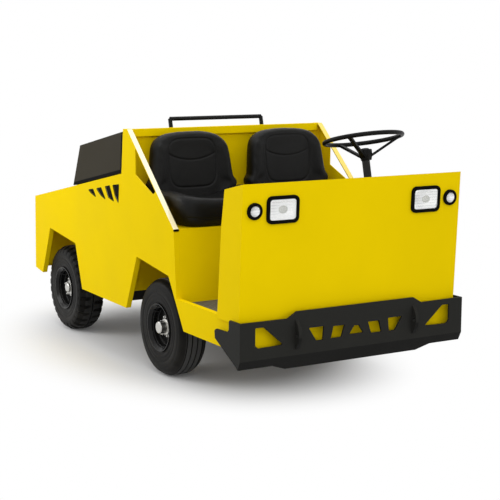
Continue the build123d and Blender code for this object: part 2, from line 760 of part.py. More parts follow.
with BuildPart() as steer:
    # Hub turned about the column: a short drum over a cone
    section_plane = Plane(origin=rim_centre, x_dir=(1, 0, 0), z_dir=Vector(1, 0, 0).cross(axis_up))
    with BuildSketch(section_plane) as drum:
        with BuildLine():
            Polyline(
                (0, -HUB_TOP_DROP),
                (STEER_HUB_R - 4, -HUB_TOP_DROP),
                (STEER_HUB_R, -HUB_TOP_DROP - 4),
                (STEER_HUB_R, -HUB_MID_DROP),
                (COLUMN_R + 3, -HUB_LOW_DROP),
                (STEER_STUB_R + RUN_GAP, -HUB_LOW_DROP),
                (STEER_STUB_R + RUN_GAP, STEER_STUB - HUB_LOW_DROP),
                (0, STEER_STUB - HUB_LOW_DROP),
                close=True,
            )
        make_face()
    revolve(drum.sketch, axis=Axis(rim_centre, axis_up))
    with Locations(Plane(origin=rim_centre, x_dir=(1, 0, 0), z_dir=axis_up)):
        Torus(STEER_R, STEER_TUBE)
    for angle in SPOKE_ANGLES:
        radial = Vector(1, 0, 0) * cos(radians(angle)) + axis_back * sin(radians(angle))
        side = Plane(origin=rim_centre, x_dir=radial, z_dir=radial.cross(axis_up))
        low = -SPOKE_DROP + SPOKE_T / 2
        with BuildSketch(side.offset(-SPOKE_W / 2)):
            with BuildLine():
                Polyline(
                    (18, low - SPOKE_T / 2),
                    (STEER_R, -SPOKE_T / 2),
                    (STEER_R, SPOKE_T / 2),
                    (18, low + SPOKE_T / 2),
                    close=True,
                )
            make_face()
        extrude(amount=SPOKE_W)
save(steer.part, "steering_wheel")

# Pedals
with BuildPart() as pedals:
    for x, w in ((COLUMN_X - 95, 70), (COLUMN_X + 85, 60)):
        y = face_y(FLOOR_Z) + COWL_T + 60
        top = FLOOR_Z + 120
        slab(x - 8, x + 8, [(y, FLOOR_Z), (y + 14, FLOOR_Z), (y + 74, top), (y + 60, top)])
        slab(
            x - w / 2,
            x + w / 2,
            [(y + 44, top - 32), (y + 56, top - 40), (y + 110, top + 40), (y + 98, top + 48)],
        )
save(pedals.part, "pedals")

# Rear hitch: back plate and two jaws with a pin hole
HITCH_TIP = TAIL + HITCH_REACH
with BuildPart() as hitch:
    block(-90, 90, TAIL, TAIL + HITCH_PLATE, HITCH_Z - 75, HITCH_Z + 75)
    for z in (HITCH_Z - HITCH_OPEN / 2 - HITCH_PLATE, HITCH_Z + HITCH_OPEN / 2):
        with BuildSketch(Plane.XY.offset(z)):
            with Locations((0, HITCH_TIP - HITCH_W / 2)):
                Circle(HITCH_W / 2)
            with Locations((0, (TAIL + HITCH_TIP - HITCH_W / 2) / 2)):
                Rectangle(HITCH_W, HITCH_TIP - HITCH_W / 2 - TAIL)
            with Locations((0, HITCH_TIP - HITCH_W / 2)):
                Circle(HITCH_HOLE, mode=Mode.SUBTRACT)
        extrude(amount=HITCH_PLATE)
save(hitch.part, "rear_hitch")

# Front axle beam with kingpin eyes
KINGPIN_X = TRACK / 2 - KINGPIN_OFFSET
EYE_H = 60
FORK_H = 24
with BuildPart() as beam:
    half = BEAM / 2
    reach = KINGPIN_X - 22
    block(-reach, reach, FRONT_AXLE - half, FRONT_AXLE + half, AXLE_Z - half, AXLE_Z + half)
    for x in (-KINGPIN_X, KINGPIN_X):
        with BuildSketch(Plane.XY.offset(AXLE_Z - EYE_H / 2)):
            with Locations((x, FRONT_AXLE)):
                Circle(27)
        extrude(amount=EYE_H)
    for x in (-KINGPIN_X, KINGPIN_X):
        with BuildSketch(Plane.XY.offset(AXLE_Z - EYE_H / 2)):
            with Locations((x, FRONT_AXLE)):
                Circle(KINGPIN_RADIUS + RUN_GAP)
        extrude(amount=EYE_H, mode=Mode.SUBTRACT)
save(beam.part, "front_axle")

# Leaf springs under both rails, front and rear
SPRING_TOP = RAIL_TOP - RAIL_H


def spring_set(name, axle_y, seat_z, span):
    with BuildPart() as springs:
        for s in (-1, 1):
            a, b = sorted((s * (RAIL_X - SPRING_W / 2), s * (RAIL_X + SPRING_W / 2)))
            for level, part_span in ((0, 1.0), (1, 0.72), (2, 0.45)):
                half = span / 2 * part_span
                z = seat_z + SPRING_T * (2 - level)
                rise = 14 * part_span**2
                slab(
                    a,
                    b,
                    [
                        (axle_y - half, z + rise),
                        (axle_y - half * 0.4, z),
                        (axle_y + half * 0.4, z),
                        (axle_y + half, z + rise),
                        (axle_y + half, z + rise + SPRING_T),
                        (axle_y + half * 0.4, z + SPRING_T),
                        (axle_y - half * 0.4, z + SPRING_T),
                        (axle_y - half, z + rise + SPRING_T),
                    ],
                )
            top = seat_z + SPRING_T * 3
            for y in (axle_y - span / 2 - 6, axle_y + span / 2 - 22):
                block(a, b, y, y + 28, top - SPRING_T - 4, SPRING_TOP)
            block(a, b, axle_y - 34, axle_y + 34, top, top + 8)
    save(springs.part, name)


spring_set("front_springs", FRONT_AXLE, AXLE_Z + BEAM / 2, 560)

# Rear drive axle: tube, gear housing and motor
TUBE_R = 38
GEAR_R = 98
with BuildPart() as rear_axle:
    with BuildSketch(Plane.YZ.offset(-TRACK / 2 + 30)):
        with Locations((REAR_AXLE, AXLE_Z)):
            Circle(TUBE_R)
    extrude(amount=TRACK - 60)
    with BuildSketch(Plane.YZ.offset(-TRACK / 2 - STUB_END)):
        with Locations((REAR_AXLE, AXLE_Z)):
            Circle(STUB_RADIUS)
    extrude(amount=TRACK + 2 * STUB_END)
    with BuildSketch(Plane.YZ.offset(-75)):
        with Locations((REAR_AXLE, AXLE_Z)):
            Circle(GEAR_R)
    extrude(amount=150)
    for s in (-1, 1):
        a, b = sorted((s * (RAIL_X - SPRING_W / 2), s * (RAIL_X + SPRING_W / 2)))
        block(a, b, REAR_AXLE - 40, REAR_AXLE + 40, AXLE_Z, AXLE_Z + 44)
save(rear_axle.part, "rear_axle")

spring_set("rear_springs", REAR_AXLE, AXLE_Z + 44, 560)

with BuildPart() as motor:
    with BuildSketch(Plane.XZ.offset(GEAR_R - REAR_AXLE)):
        with Locations((0, AXLE_Z + 10)):
            Circle(84)
    extrude(amount=230)
save(motor.part, "drive_motor")


# Knuckles with stub axle and a straight steering arm, so the linkage stays a parallelogram
def knuckle(name, s):
    x = s * KINGPIN_X
    end = s * (TRACK / 2 + STUB_END)
    with BuildPart() as item:
        for z in (AXLE_Z - EYE_H / 2 - FORK_H - 0.5, AXLE_Z + EYE_H / 2 + 0.5):
            with BuildSketch(Plane.XY.offset(z)):
                with Locations((x, FRONT_AXLE)):
                    Circle(24)
                with Locations((x + s * 22, FRONT_AXLE)):
                    Rectangle(44, 44)
            extrude(amount=FORK_H)
        with BuildSketch(Plane.XY.offset(AXLE_Z - EYE_H / 2 - FORK_H)):
            with Locations((x, FRONT_AXLE)):
                Circle(KINGPIN_RADIUS)
        extrude(amount=EYE_H + 2 * FORK_H)
        a, b = sorted((x + s * 32, x + s * 44))
        tall = EYE_H / 2 + FORK_H
        block(a, b, FRONT_AXLE - 22, FRONT_AXLE + 22, AXLE_Z - tall, AXLE_Z + tall)
        with BuildSketch(Plane.YZ.offset(min(x + s * 40, end))):
            with Locations((FRONT_AXLE, AXLE_Z)):
                Circle(STUB_RADIUS)
        extrude(amount=abs(end - x - s * 40))
        with BuildSketch(Plane.XY.offset(AXLE_Z - EYE_H / 2 - FORK_H)):
            with Locations((x, FRONT_AXLE + STEER_ARM / 2)):
                Rectangle(ARM_W, STEER_ARM)
            with Locations((x, FRONT_AXLE + STEER_ARM)):
                Circle(ARM_W / 2)
                Circle(STEER_PIN + RUN_GAP, mode=Mode.SUBTRACT)
        extrude(amount=ARM_T)
    save(item.part, name)


ARM_W = 32
ARM_T = 14
knuckle("knuckle_right", -1)
knuckle("knuckle_left", 1)

# Tie rod below the arms, a pin at each end
ROD_R = 11
ARM_LOW = AXLE_Z - EYE_H / 2 - FORK_H
with BuildPart() as tie:
    with BuildSketch(Plane.YZ.offset(-KINGPIN_X)):
        with Locations((FRONT_AXLE + STEER_ARM, ARM_LOW - 1 - ROD_R)):
            Circle(ROD_R)
    extrude(amount=2 * KINGPIN_X)
    for x in (-KINGPIN_X, KINGPIN_X):
        with BuildSketch(Plane.XY.offset(ARM_LOW - 1 - 2 * ROD_R)):
            with Locations((x, FRONT_AXLE + STEER_ARM)):
                Circle(15)
        extrude(amount=2 * ROD_R)
        with BuildSketch(Plane.XY.offset(ARM_LOW - 1 - ROD_R)):
            with Locations((x, FRONT_AXLE + STEER_ARM)):
                Circle(STEER_PIN)
        extrude(amount=ROD_R + 1 + ARM_T)
save(tie.part, "tie_rod")


# Wheels: tyre, rim and hub turned about the axle line
def wheel(tag, s, axle_y, hub_face, cap):
    cx = s * TRACK / 2
    turn = Axis((0, axle_y, AXLE_Z), (1, 0, 0))
    hw = TYRE_WIDTH / 2
    seat = RIM_DIAMETER / 2
    r = TYRE_DIAMETER / 2
    lip = seat + RIM_LIP
    barrel = seat - RIM_WALL - 2
    disc = DISC_AT + DISC_T

    def ring(points):
        # Points are (distance outboard of the wheel centre, radius)
        with BuildSketch(Plane.XY.offset(AXLE_Z)) as profile:
            with BuildLine():
                Polyline(*[(cx + s * d, axle_y + rad) for d, rad in points], close=True)
            make_face()
        revolve(profile.sketch, axis=turn)

    # Half section of the tyre from the bead to the tread, mirrored for the inner side
    section = [(hw - 14.5, seat + SOFT_GAP), (hw - 2.5, lip + 2), (hw, seat + 47)]
    section += [(hw, r - 48), (hw - 8, r - 20), (hw - 40, r)]
    with BuildPart() as tyre:
        ring([(-d, rad) for d, rad in section] + list(reversed(section)))
    save(tyre.part, "tyre_" + tag)
    with BuildPart() as rim:
        ring(
            [
                (-hw + 14, seat),
                (-hw + 2, lip),
                (-hw - 4, lip),
                (-hw - 4, lip - 5),
                (-hw + 11, seat - RIM_WALL),
                (DISC_AT, seat - RIM_WALL),
                (DISC_AT, HUB_BORE),
                (disc, HUB_BORE),
                (disc, barrel - 4),
                (disc + 6, barrel),
                (hw - 20, barrel),
                (hw - 20, barrel + 4),
                (hw - 12, barrel + 4),
                (hw + 4, lip - 5),
                (hw + 4, lip),
                (hw - 2, lip),
                (hw - 14, seat),
            ]
        )
    save(rim.part, "rim_" + tag)
    with BuildPart() as hub:
        ring(
            [
                (-HUB_IN, STUB_RADIUS + RUN_GAP),
                (-HUB_IN, HUB_RADIUS - 2),
                (DISC_AT - 12, HUB_RADIUS - 2),
                (DISC_AT - 12, HUB_RADIUS + 16),
                (DISC_AT, HUB_RADIUS + 16),
                (DISC_AT, HUB_BORE),
                (disc, HUB_BORE),
                (disc, HUB_RADIUS),
                (disc + 14, HUB_RADIUS),
                (disc + 16, cap),
                (hub_face - 5, cap),
                (hub_face, cap - 5),
                (hub_face, 0),
                (STUB_END + 4, 0),
                (STUB_END + 4, STUB_RADIUS + RUN_GAP),
            ]
        )
    save(hub.part, "hub_" + tag)


for tag, s, axle_y, hub_face, cap in (
    ("front_right", -1, FRONT_AXLE, HUB_FACE_FRONT, HUB_CAP_FRONT),
    ("front_left", 1, FRONT_AXLE, HUB_FACE_FRONT, HUB_CAP_FRONT),
    ("rear_right", -1, REAR_AXLE, HUB_FACE_REAR, HUB_CAP_REAR),
    ("rear_left", 1, REAR_AXLE, HUB_FACE_REAR, HUB_CAP_REAR),
):
    wheel(tag, s, axle_y, hub_face, cap)
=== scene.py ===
# %% [markdown]
# # Airport baggage tug
# A compact electric tow tractor with an open two-seat cab. The solids of the body, frame
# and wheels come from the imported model. This script gives them finishes and adds what a
# solid model leaves out: tread, moulded seats, lamps with reflectors, bolts and trim.

# %% Load the model and note its size
import json
from math import copysign, cos, hypot, pi, radians, sin, sqrt, tan

import bmesh
import bpy
import numpy as np
from mathutils import Matrix, Vector


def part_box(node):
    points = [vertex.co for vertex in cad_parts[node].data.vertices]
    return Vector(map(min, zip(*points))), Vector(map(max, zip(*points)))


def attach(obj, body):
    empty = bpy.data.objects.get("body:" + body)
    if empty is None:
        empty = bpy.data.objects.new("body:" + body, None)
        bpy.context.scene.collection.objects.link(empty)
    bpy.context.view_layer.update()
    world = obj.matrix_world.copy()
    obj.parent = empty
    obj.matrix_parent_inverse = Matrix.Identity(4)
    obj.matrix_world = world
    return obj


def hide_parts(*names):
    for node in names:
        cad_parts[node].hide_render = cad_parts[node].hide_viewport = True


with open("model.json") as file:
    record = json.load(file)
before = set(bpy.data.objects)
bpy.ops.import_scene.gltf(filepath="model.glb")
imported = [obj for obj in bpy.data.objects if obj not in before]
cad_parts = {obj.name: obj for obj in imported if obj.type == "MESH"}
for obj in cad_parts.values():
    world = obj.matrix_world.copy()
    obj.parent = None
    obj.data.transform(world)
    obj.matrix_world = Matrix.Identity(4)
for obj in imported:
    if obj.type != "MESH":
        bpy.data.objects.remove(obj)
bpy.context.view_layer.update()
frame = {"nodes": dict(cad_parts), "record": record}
nodes = frame["nodes"]

# %% Places that several steps share, in metres
FRONT_AXLE_Y, REAR_AXLE_Y, AXLE_Z = -0.409, 0.941, 0.27
COLUMN_X = 0.306
SEAT_BOX_TOP = 0.848


def new_object(name, data):
    made = bpy.data.objects.new(name, data)
    bpy.context.scene.collection.objects.link(made)
    return made


def middle_of(node):
    """The middle of a node's box."""
    return [(a + b) / 2 for a, b in zip(*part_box(node))]


# %% [markdown]
# ## Camera
# The camera stands in front of the machine and to its right side, at about head height.
# Its place and its long lens were solved from the straight edges of the body, so that the
# verticals and the wheel ellipses fall where the photograph has them.

# %% Place the camera
CAMERA_AT = Vector((-3.710, -6.621, 1.809))
YAW, PITCH, ROLL = 0.53445, 0.15834, 0.00283
LENS, SENSOR = 92.56, 36.0  # millimetres


def aim_camera():
    flat = cos(PITCH)
    look = Vector((sin(YAW) * flat, cos(YAW) * flat, -sin(PITCH)))
    right = Vector((cos(YAW), -sin(YAW), 0.0))
    up = right.cross(look)
    side = right * cos(ROLL) + up * sin(ROLL)
    top = up * cos(ROLL) - right * sin(ROLL)
    data = bpy.data.cameras.new("camera")
    data.lens, data.sensor_width = LENS, SENSOR
    camera = new_object("camera", data)
    columns = Matrix((side, top, -look)).transposed()
    camera.matrix_world = Matrix.Translation(CAMERA_AT) @ columns.to_4x4()
    bpy.context.scene.camera = camera
    return camera


camera = aim_camera()
print("camera lens", camera.data.lens)

# %% [markdown]
# ## Small helpers for shader trees
# Every finish below is a tree of nodes. Short helpers keep the trees readable: they add a
# node and set its sockets, do arithmetic, turn a range of values into a soft mask from 0 to
# 1, or fetch what most trees need, such as the place on the machine.

# %% Shader helpers
def new_material(name):
    material = bpy.data.materials.new(name)
    material.use_nodes = True
    tree = material.node_tree
    tree.nodes.clear()
    return material, tree


def add(tree, kind, sockets=None, **settings):
    made = tree.nodes.new(kind)
    for key, value in settings.items():
        setattr(made, key, value)
    for key, value in (sockets or {}).items():
        feed(tree, value, made.inputs[key])
    return made


def feed(tree, value, socket):
    """Link a socket, or set a plain value."""
    if isinstance(value, bpy.types.NodeSocket):
        tree.links.new(value, socket)
    else:
        socket.default_value = value


def calc(tree, operation, *terms):
    step = add(tree, "ShaderNodeMath", operation=operation)
    for socket, term in zip(step.inputs, terms):
        feed(tree, term, socket)
    return step.outputs[0]


def times(tree, first, second):
    return calc(tree, "MULTIPLY", first, second)


def vector_step(tree, operation, *terms):
    step = add(tree, "ShaderNodeVectorMath", dict(enumerate(terms)), operation=operation)
    return step.outputs


def mask(tree, value, low, high):
    soft = add(tree, "ShaderNodeMapRange", {"Value": value, "From Min": low, "From Max": high},
               interpolation_type="SMOOTHSTEP")
    return soft.outputs["Result"]


def blend_color(tree, share, first, second):
    mix = add(tree, "ShaderNodeMix", data_type="RGBA")
    feed(tree, share, mix.inputs["Factor"])
    for index, color in ((6, first), (7, second)):
        feed(tree, (*color, 1) if isinstance(color, tuple) else color, mix.inputs[index])
    return mix.outputs[2]


def blend_value(tree, share, first, second):
    mix = add(tree, "ShaderNodeMix", data_type="FLOAT")
    for index, value in ((0, share), (2, first), (3, second)):
        feed(tree, value, mix.inputs[index])
    return mix.outputs[0]


def where(tree):
    return add(tree, "ShaderNodeTexCoord").outputs["Object"]


def facing(tree):
    return add(tree, "ShaderNodeNewGeometry").outputs["Normal"]


def split(tree, vector):
    return add(tree, "ShaderNodeSeparateXYZ", {0: vector}).outputs


def noise(tree, place, scale, detail):
    sockets = {"Vector": place, "Scale": scale, "Detail": detail}
    return add(tree, "ShaderNodeTexNoise", sockets).outputs["Fac"]


print("shader helpers ready")

# %% [markdown]
# ## Floor and sky
# The studio is a white sweep. The floor is lit as a pale surface and so keeps the shadow
# under the machine. Further out it turns into plain white, but only for the rays that look
# at it, so the machine isn't lit by it any more than by a real floor.

# %% Floor and sky
FLOOR_REACH = 40.0
FLOOR_AS_LIGHT, FLOOR_AS_SEEN = (0.42, 0.42, 0.42), (0.72, 0.72, 0.72)
FLOOR_LIFT = 0.03
SHADOW_OVAL = {"Location": (0.15, -0.25, 0), "Scale": (1.5, 1, 1)}
FADE_FROM, FADE_TO = 0.95, 1.8
HORIZON, ZENITH = 0.9, 0.88


def looked_at(tree):
    """1 for rays from the camera and for those seen in metal or through glass."""
    path = add(tree, "ShaderNodeLightPath").outputs
    seen = calc(tree, "MAXIMUM", path["Is Camera Ray"], path["Is Glossy Ray"])
    return calc(tree, "MAXIMUM", seen, path["Is Transmission Ray"])


def floor_material():
    material, tree = new_material("studio_floor")
    seen = looked_at(tree)
    shade = blend_color(tree, seen, FLOOR_AS_LIGHT, FLOOR_AS_SEEN)
    diffuse = add(tree, "ShaderNodeBsdfDiffuse", {"Color": shade})
    lift = add(tree, "ShaderNodeEmission", {"Strength": times(tree, seen, FLOOR_LIFT)})
    lit = add(tree, "ShaderNodeAddShader", {0: diffuse.outputs[0], 1: lift.outputs[0]})
    oval = add(tree, "ShaderNodeMapping", {"Vector": where(tree), **SHADOW_OVAL})
    reach = vector_step(tree, "LENGTH", oval.outputs[0])["Value"]
    far = mask(tree, reach, FADE_FROM, FADE_TO)
    white = add(tree, "ShaderNodeEmission", {"Strength": 1.0})
    mix = add(tree, "ShaderNodeMixShader",
              {0: times(tree, far, seen), 1: lit.outputs[0], 2: white.outputs[0]})
    add(tree, "ShaderNodeOutputMaterial", {"Surface": mix.outputs[0]})
    return material


def make_floor():
    corners = [(x * FLOOR_REACH, y * FLOOR_REACH, 0)
               for x, y in ((-1, -1), (1, -1), (1, 1), (-1, 1))]
    mesh = bpy.data.meshes.new("floor")
    mesh.from_pydata(corners, [], [(0, 1, 2, 3)])
    mesh.materials.append(floor_material())
    floor = new_object("floor", mesh)


def set_world():
    """An even pale sky that lights the machine, and plain white behind it."""
    world = bpy.data.worlds.new("studio")
    bpy.context.scene.world = world
    world.use_nodes = True
    tree = world.node_tree
    tree.nodes.clear()
    way = split(tree, add(tree, "ShaderNodeTexCoord").outputs["Generated"])
    height = mask(tree, way["Z"], 0.0, 0.9)
    strength = calc(tree, "MULTIPLY_ADD", height, ZENITH - HORIZON, HORIZON)
    plain = {"Color": (1, 1, 1, 1)}
    sky = add(tree, "ShaderNodeBackground", {**plain, "Strength": strength})
    white = add(tree, "ShaderNodeBackground", {**plain, "Strength": 1.0})
    mix = add(tree, "ShaderNodeMixShader",
              {0: looked_at(tree), 1: sky.outputs[0], 2: white.outputs[0]})
    add(tree, "ShaderNodeOutputWorld", {"Surface": mix.outputs[0]})


make_floor()
set_world()
bpy.context.scene.view_settings.view_transform = "Standard"
print("floor and sky ready")

# %% [markdown]
# ## Lamps
# The sky does most of the lighting, and a large soft box straight above adds the short,
# dark shadow close round the machine. A second one, high at the right rear, makes the right
# side brightest at its top rear corner and lets it fall off towards the front. A high one
# and a low one light the front and the seat box, and a weak one stands at the left front.

# %% Soft boxes
# Name, place, the point it looks at, its two sides in metres, and watts
LAMPS = (
    ("overhead", (0.2, -0.5, 4.6), (0.0, -0.5, 0.0), (2.6, 3.2), 62),
    ("right_rear", (-3.0, 1.7, 1.9), (-0.65, 0.6, 0.9), (1.8, 1.0), 34),
    ("front_high", (-2.4, -4.6, 3.2), (-0.2, -0.9, 0.7), (1.6, 1.2), 30),
    ("front_low", (-1.6, -5.0, 0.75), (-0.3, -1.2, 0.6), (2.4, 1.0), 13),
    ("left_front", (2.6, -5.0, 1.0), (0.3, -1.4, 0.7), (1.8, 1.2), 14),
)


def add_soft_box(name, at, toward, size, watts):
    data = bpy.data.lights.new(name, "AREA")
    data.shape = "RECTANGLE"
    data.size, data.size_y = size
    data.energy = watts
    lamp = new_object(name, data)
    lamp.location = at
    lamp.rotation_euler = (Vector(toward) - Vector(at)).to_track_quat("-Z", "Y").to_euler()


for lamp in LAMPS:
    add_soft_box(*lamp)
print("soft boxes", len(LAMPS))

# %% [markdown]
# ## Effects that finishes share
# Real paint, rubber and vinyl differ in colour, but they share some effects: a fine grain,
# broad patches, edges that are rounded and rubbed, and dust that settles on what faces up.
# Each effect is one node group with named sockets, built once and used with its own values.

# %% Shared effects
FLOAT, VECTOR = "NodeSocketFloat", "NodeSocketVector"


def new_effect(name, inputs, outputs):
    tree = bpy.data.node_groups.new(name, "ShaderNodeTree")
    for label, value in inputs:
        socket = tree.interface.new_socket(label, in_out="INPUT", socket_type=FLOAT)
        socket.default_value = value
    for label, kind in outputs:
        tree.interface.new_socket(label, in_out="OUTPUT", socket_type=kind)
    return tree, tree.nodes.new("NodeGroupInput").outputs, tree.nodes.new("NodeGroupOutput").inputs


def use(tree, name, **values):
    """Place an effect in a material and set its inputs."""
    placed = add(tree, "ShaderNodeGroup", node_tree=bpy.data.node_groups[name])
    for label, value in values.items():
        feed(tree, value, placed.inputs[label])
    return placed.outputs


def make_grain():
    tree, given, out = new_effect(
        "grain", [("Scale", 300.0)], [("Height", FLOAT), ("Patches", FLOAT)])
    place = where(tree)
    feed(tree, noise(tree, place, given["Scale"], 3.0), out["Height"])
    broad = noise(tree, place, 2.4, 4.0)
    feed(tree, mask(tree, broad, 0.3, 0.7), out["Patches"])


def make_edges():
    tree, given, out = new_effect(
        "rubbed_edges", [("Radius", 0.002)], [("Normal", VECTOR), ("Mask", FLOAT)])
    rounded = add(tree, "ShaderNodeBevel", {"Radius": given["Radius"]}, samples=4).outputs[0]
    alike = vector_step(tree, "DOT_PRODUCT", rounded, facing(tree))["Value"]
    bend = mask(tree, calc(tree, "SUBTRACT", 1.0, alike), 0.02, 0.16)
    chips = mask(tree, noise(tree, where(tree), 45.0, 5.0), 0.48, 0.62)
    feed(tree, rounded, out["Normal"])
    feed(tree, times(tree, bend, chips), out["Mask"])


def make_dust():
    tree, given, out = new_effect("settled_dust", [("Amount", 0.3)], [("Mask", FLOAT)])
    place = where(tree)
    up = mask(tree, split(tree, facing(tree))["Z"], 0.35, 1.0)
    high = mask(tree, split(tree, place)["Z"], 0.05, 0.42)
    reach = calc(tree, "MAXIMUM", times(tree, up, 0.5), calc(tree, "SUBTRACT", 1.0, high))
    patchy = mask(tree, noise(tree, place, 9.0, 6.0), 0.38, 0.66)
    feed(tree, times(tree, times(tree, reach, patchy), given["Amount"]), out["Mask"])


def make_leather_grain():
    tree, given, out = new_effect("leather_grain", [("Scale", 420.0)], [("Height", FLOAT)])
    place = where(tree)
    cells = add(tree, "ShaderNodeTexVoronoi", {"Vector": place, "Scale": given["Scale"]})
    creases = mask(tree, cells.outputs["Distance"], 0.05, 0.75)
    folds = times(tree, noise(tree, place, 26.0, 3.0), 1.2)
    feed(tree, calc(tree, "ADD", creases, folds), out["Height"])


make_grain()
make_edges()
make_dust()
make_leather_grain()
print("effects", [g.name for g in bpy.data.node_groups])

# %% [markdown]
# ## Painted and moulded finishes
# One recipe covers most hard finishes: a base colour with broad patches, paler rubbed edges,
# dust low down, a fine grain in the bump and a roughness that follows them. The values are
# what tells powder coat from chassis paint or moulded plastic. The bumper also gets painted
# shade where it faces down, so its folded lower lip stands out from the plate.

# %% Hard finishes
DUST = (0.23, 0.21, 0.18)
UNDERSIDE_SHADE_SHARE = 0.2
SPECULAR = "Specular IOR Level"
finishes = {}


def principled(name, sockets):
    """A material with one Principled shader."""
    material, tree = new_material(name)
    surface = add(tree, "ShaderNodeBsdfPrincipled", sockets)
    add(tree, "ShaderNodeOutputMaterial", {"Surface": surface.outputs[0]})
    return material, tree, surface


def emboss(tree, surface, height, depth, over=None):
    """Add a bump, over another normal if there is one."""
    bump = add(tree, "ShaderNodeBump", {"Height": height, "Distance": depth})
    if over is not None:
        feed(tree, over, bump.inputs["Normal"])
    feed(tree, bump.outputs[0], surface.inputs["Normal"])


def hard_finish(name, color, rough, spec=0.5, metal=0.0, grain=300.0, depth=0.0002,
                patches=0.05, rub=None, rub_share=0.5, dust=0.25, radius=0.002, under=0.0,
                **sockets):
    material, tree, surface = principled(name, {"Metallic": metal, SPECULAR: spec, **sockets})
    texture = use(tree, "grain", Scale=grain)
    edges = use(tree, "rubbed_edges", Radius=radius)
    dusty = use(tree, "settled_dust", Amount=dust)["Mask"]
    darker = tuple(c * (1 - patches) for c in color)
    base = blend_color(tree, texture["Patches"], darker, color)
    if rub:
        base = blend_color(tree, times(tree, edges["Mask"], rub_share), base, rub)
    base = blend_color(tree, dusty, base, DUST)
    # Painted shade: faces that point down are mixed towards a fifth of the colour.
    if under:
        below = mask(tree, split(tree, facing(tree))["Z"], -0.05, -0.2)
        shaded = tuple(c * UNDERSIDE_SHADE_SHARE for c in color)
        base = blend_color(tree, times(tree, below, under), base, shaded)
    spread = calc(tree, "MULTIPLY_ADD", texture["Patches"], 0.08, rough - 0.04)
    feed(tree, calc(tree, "MULTIPLY_ADD", dusty, 0.3, spread), surface.inputs["Roughness"])
    emboss(tree, surface, texture["Height"], depth, edges["Normal"])
    feed(tree, base, surface.inputs["Base Color"])
    return material, tree, surface, base


def keep(name, *args, **kwargs):
    finishes[name] = hard_finish(name, *args, **kwargs)[0]


keep("bumper_black", (0.019, 0.019, 0.017), 0.55, spec=0.06, grain=650.0, depth=0.0005,
     rub=(0.06, 0.06, 0.055), dust=0.03, under=0.75)
keep("dash_black", (0.014, 0.014, 0.014), 0.55, spec=0.2, grain=900.0, depth=0.0004, dust=0.08)
keep("frame_black", (0.011, 0.011, 0.011), 0.5, spec=0.25, grain=240.0, depth=0.0004,
     rub=(0.08, 0.06, 0.04), dust=0.22)
keep("battery_case", (0.035, 0.04, 0.045), 0.55, grain=500.0, rub=(0.16, 0.16, 0.16), dust=0.2)
keep("lamp_trim", (0.004, 0.004, 0.004), 0.5, spec=0.015, grain=800.0, depth=0.0001, dust=0.0,
     radius=0.003)
keep("hood_dark", (0.034, 0.029, 0.0185), 0.5, spec=0.04, grain=700.0, depth=0.0003,
     rub=(0.09, 0.08, 0.07), dust=0.025)
keep("bar_black", (0.006, 0.006, 0.006), 0.4, spec=0.12, grain=500.0, rub=(0.10, 0.10, 0.10),
     dust=0.03)
keep("wheel_grip", (0.004, 0.004, 0.004), 0.42, spec=0.1, grain=1100.0, depth=0.0005,
     rub=(0.02, 0.02, 0.02), dust=0.0)
keep("rim_black", (0.005, 0.005, 0.005), 0.24, spec=0.16, grain=350.0, rub=(0.08, 0.075, 0.07),
     dust=0.04, radius=0.003)
keep("hub_steel", (0.60, 0.59, 0.56), 0.3, metal=1.0, grain=900.0, patches=0.12, dust=0.1,
     radius=0.003)
print("hard finishes", len(finishes))

# %% [markdown]
# ## Yellow powder coat
# The body is sheet steel under a flat, deep yellow coat with very little shine. The sloping
# edges beside the seats get a clear coat, and their colour is mixed towards pale cream as a
# painted highlight, fully on the right and weaker on the left. A mask picks them out by
# the way they face and how far from the middle they lie.

# %% Body paint
YELLOW = (0.87, 0.625, 0.0)
PAINTED_EDGE_HIGHLIGHT = (0.96, 0.92, 0.70)
EDGE_FACING = (0.0, -0.663, 0.748)
EDGE_FROM_X, EDGE_TO_X = 0.616, 0.620
LEFT_EDGE_SHARE = 0.3


def edge_coat_and_highlight_mask(tree):
    slope = vector_step(tree, "DOT_PRODUCT", facing(tree), EDGE_FACING)["Value"]
    left_way = split(tree, where(tree))["X"]
    right, left = [mask(tree, x, EDGE_FROM_X, EDGE_TO_X)
                   for x in (times(tree, left_way, -1.0), left_way)]
    outside = calc(tree, "ADD", right, times(tree, left, LEFT_EDGE_SHARE))
    return times(tree, mask(tree, slope, 0.94, 0.99), outside)


def make_body_paint():
    material, tree, surface, base = hard_finish(
        "body_paint", YELLOW, 0.46, grain=520.0, depth=0.0002, patches=0.04,
        rub=(0.93, 0.74, 0.12), rub_share=0.35, dust=0.03, radius=0.0025,
        spec=0.015, **{"Coat Roughness": 0.12})
    edge_coat_and_highlight = edge_coat_and_highlight_mask(tree)
    # Painted highlight: the sloping edges are mixed towards pale cream.
    base = blend_color(tree, times(tree, edge_coat_and_highlight, 0.75), base, PAINTED_EDGE_HIGHLIGHT)
    feed(tree, base, surface.inputs["Base Color"])
    feed(tree, edge_coat_and_highlight, surface.inputs["Coat Weight"])
    return material


finishes["body_paint"] = make_body_paint()
print("body paint ready")

# %% [markdown]
# ## Anti-slip floor
# The floor plate has a pressed pattern of short raised bars. Two waves multiplied give rows
# of bars, and a second set lies at right angles to the first. They are bump only, which is
# enough for bars that stand a few millimetres high.

# %% Floor plate
BAR_TURNS = (0.785, 2.356)
BARS_A_METRE = 28
HALF_WAVE, WHOLE_WAVE = 3.1416, 6.2832
BAR_HEIGHT = 0.004


def pressed_bars(tree, place, turn):
    laid = add(tree, "ShaderNodeMapping",
               {"Vector": place, "Rotation": (0, 0, turn), "Scale": (BARS_A_METRE,) * 3})
    along = split(tree, laid.outputs[0])
    wave_x = calc(tree, "SINE", times(tree, along["X"], HALF_WAVE))
    wave_y = calc(tree, "COSINE", times(tree, along["Y"], WHOLE_WAVE))
    length = mask(tree, calc(tree, "ABSOLUTE", wave_x), 0.45, 0.65)
    return times(tree, length, mask(tree, wave_y, 0.55, 0.85))


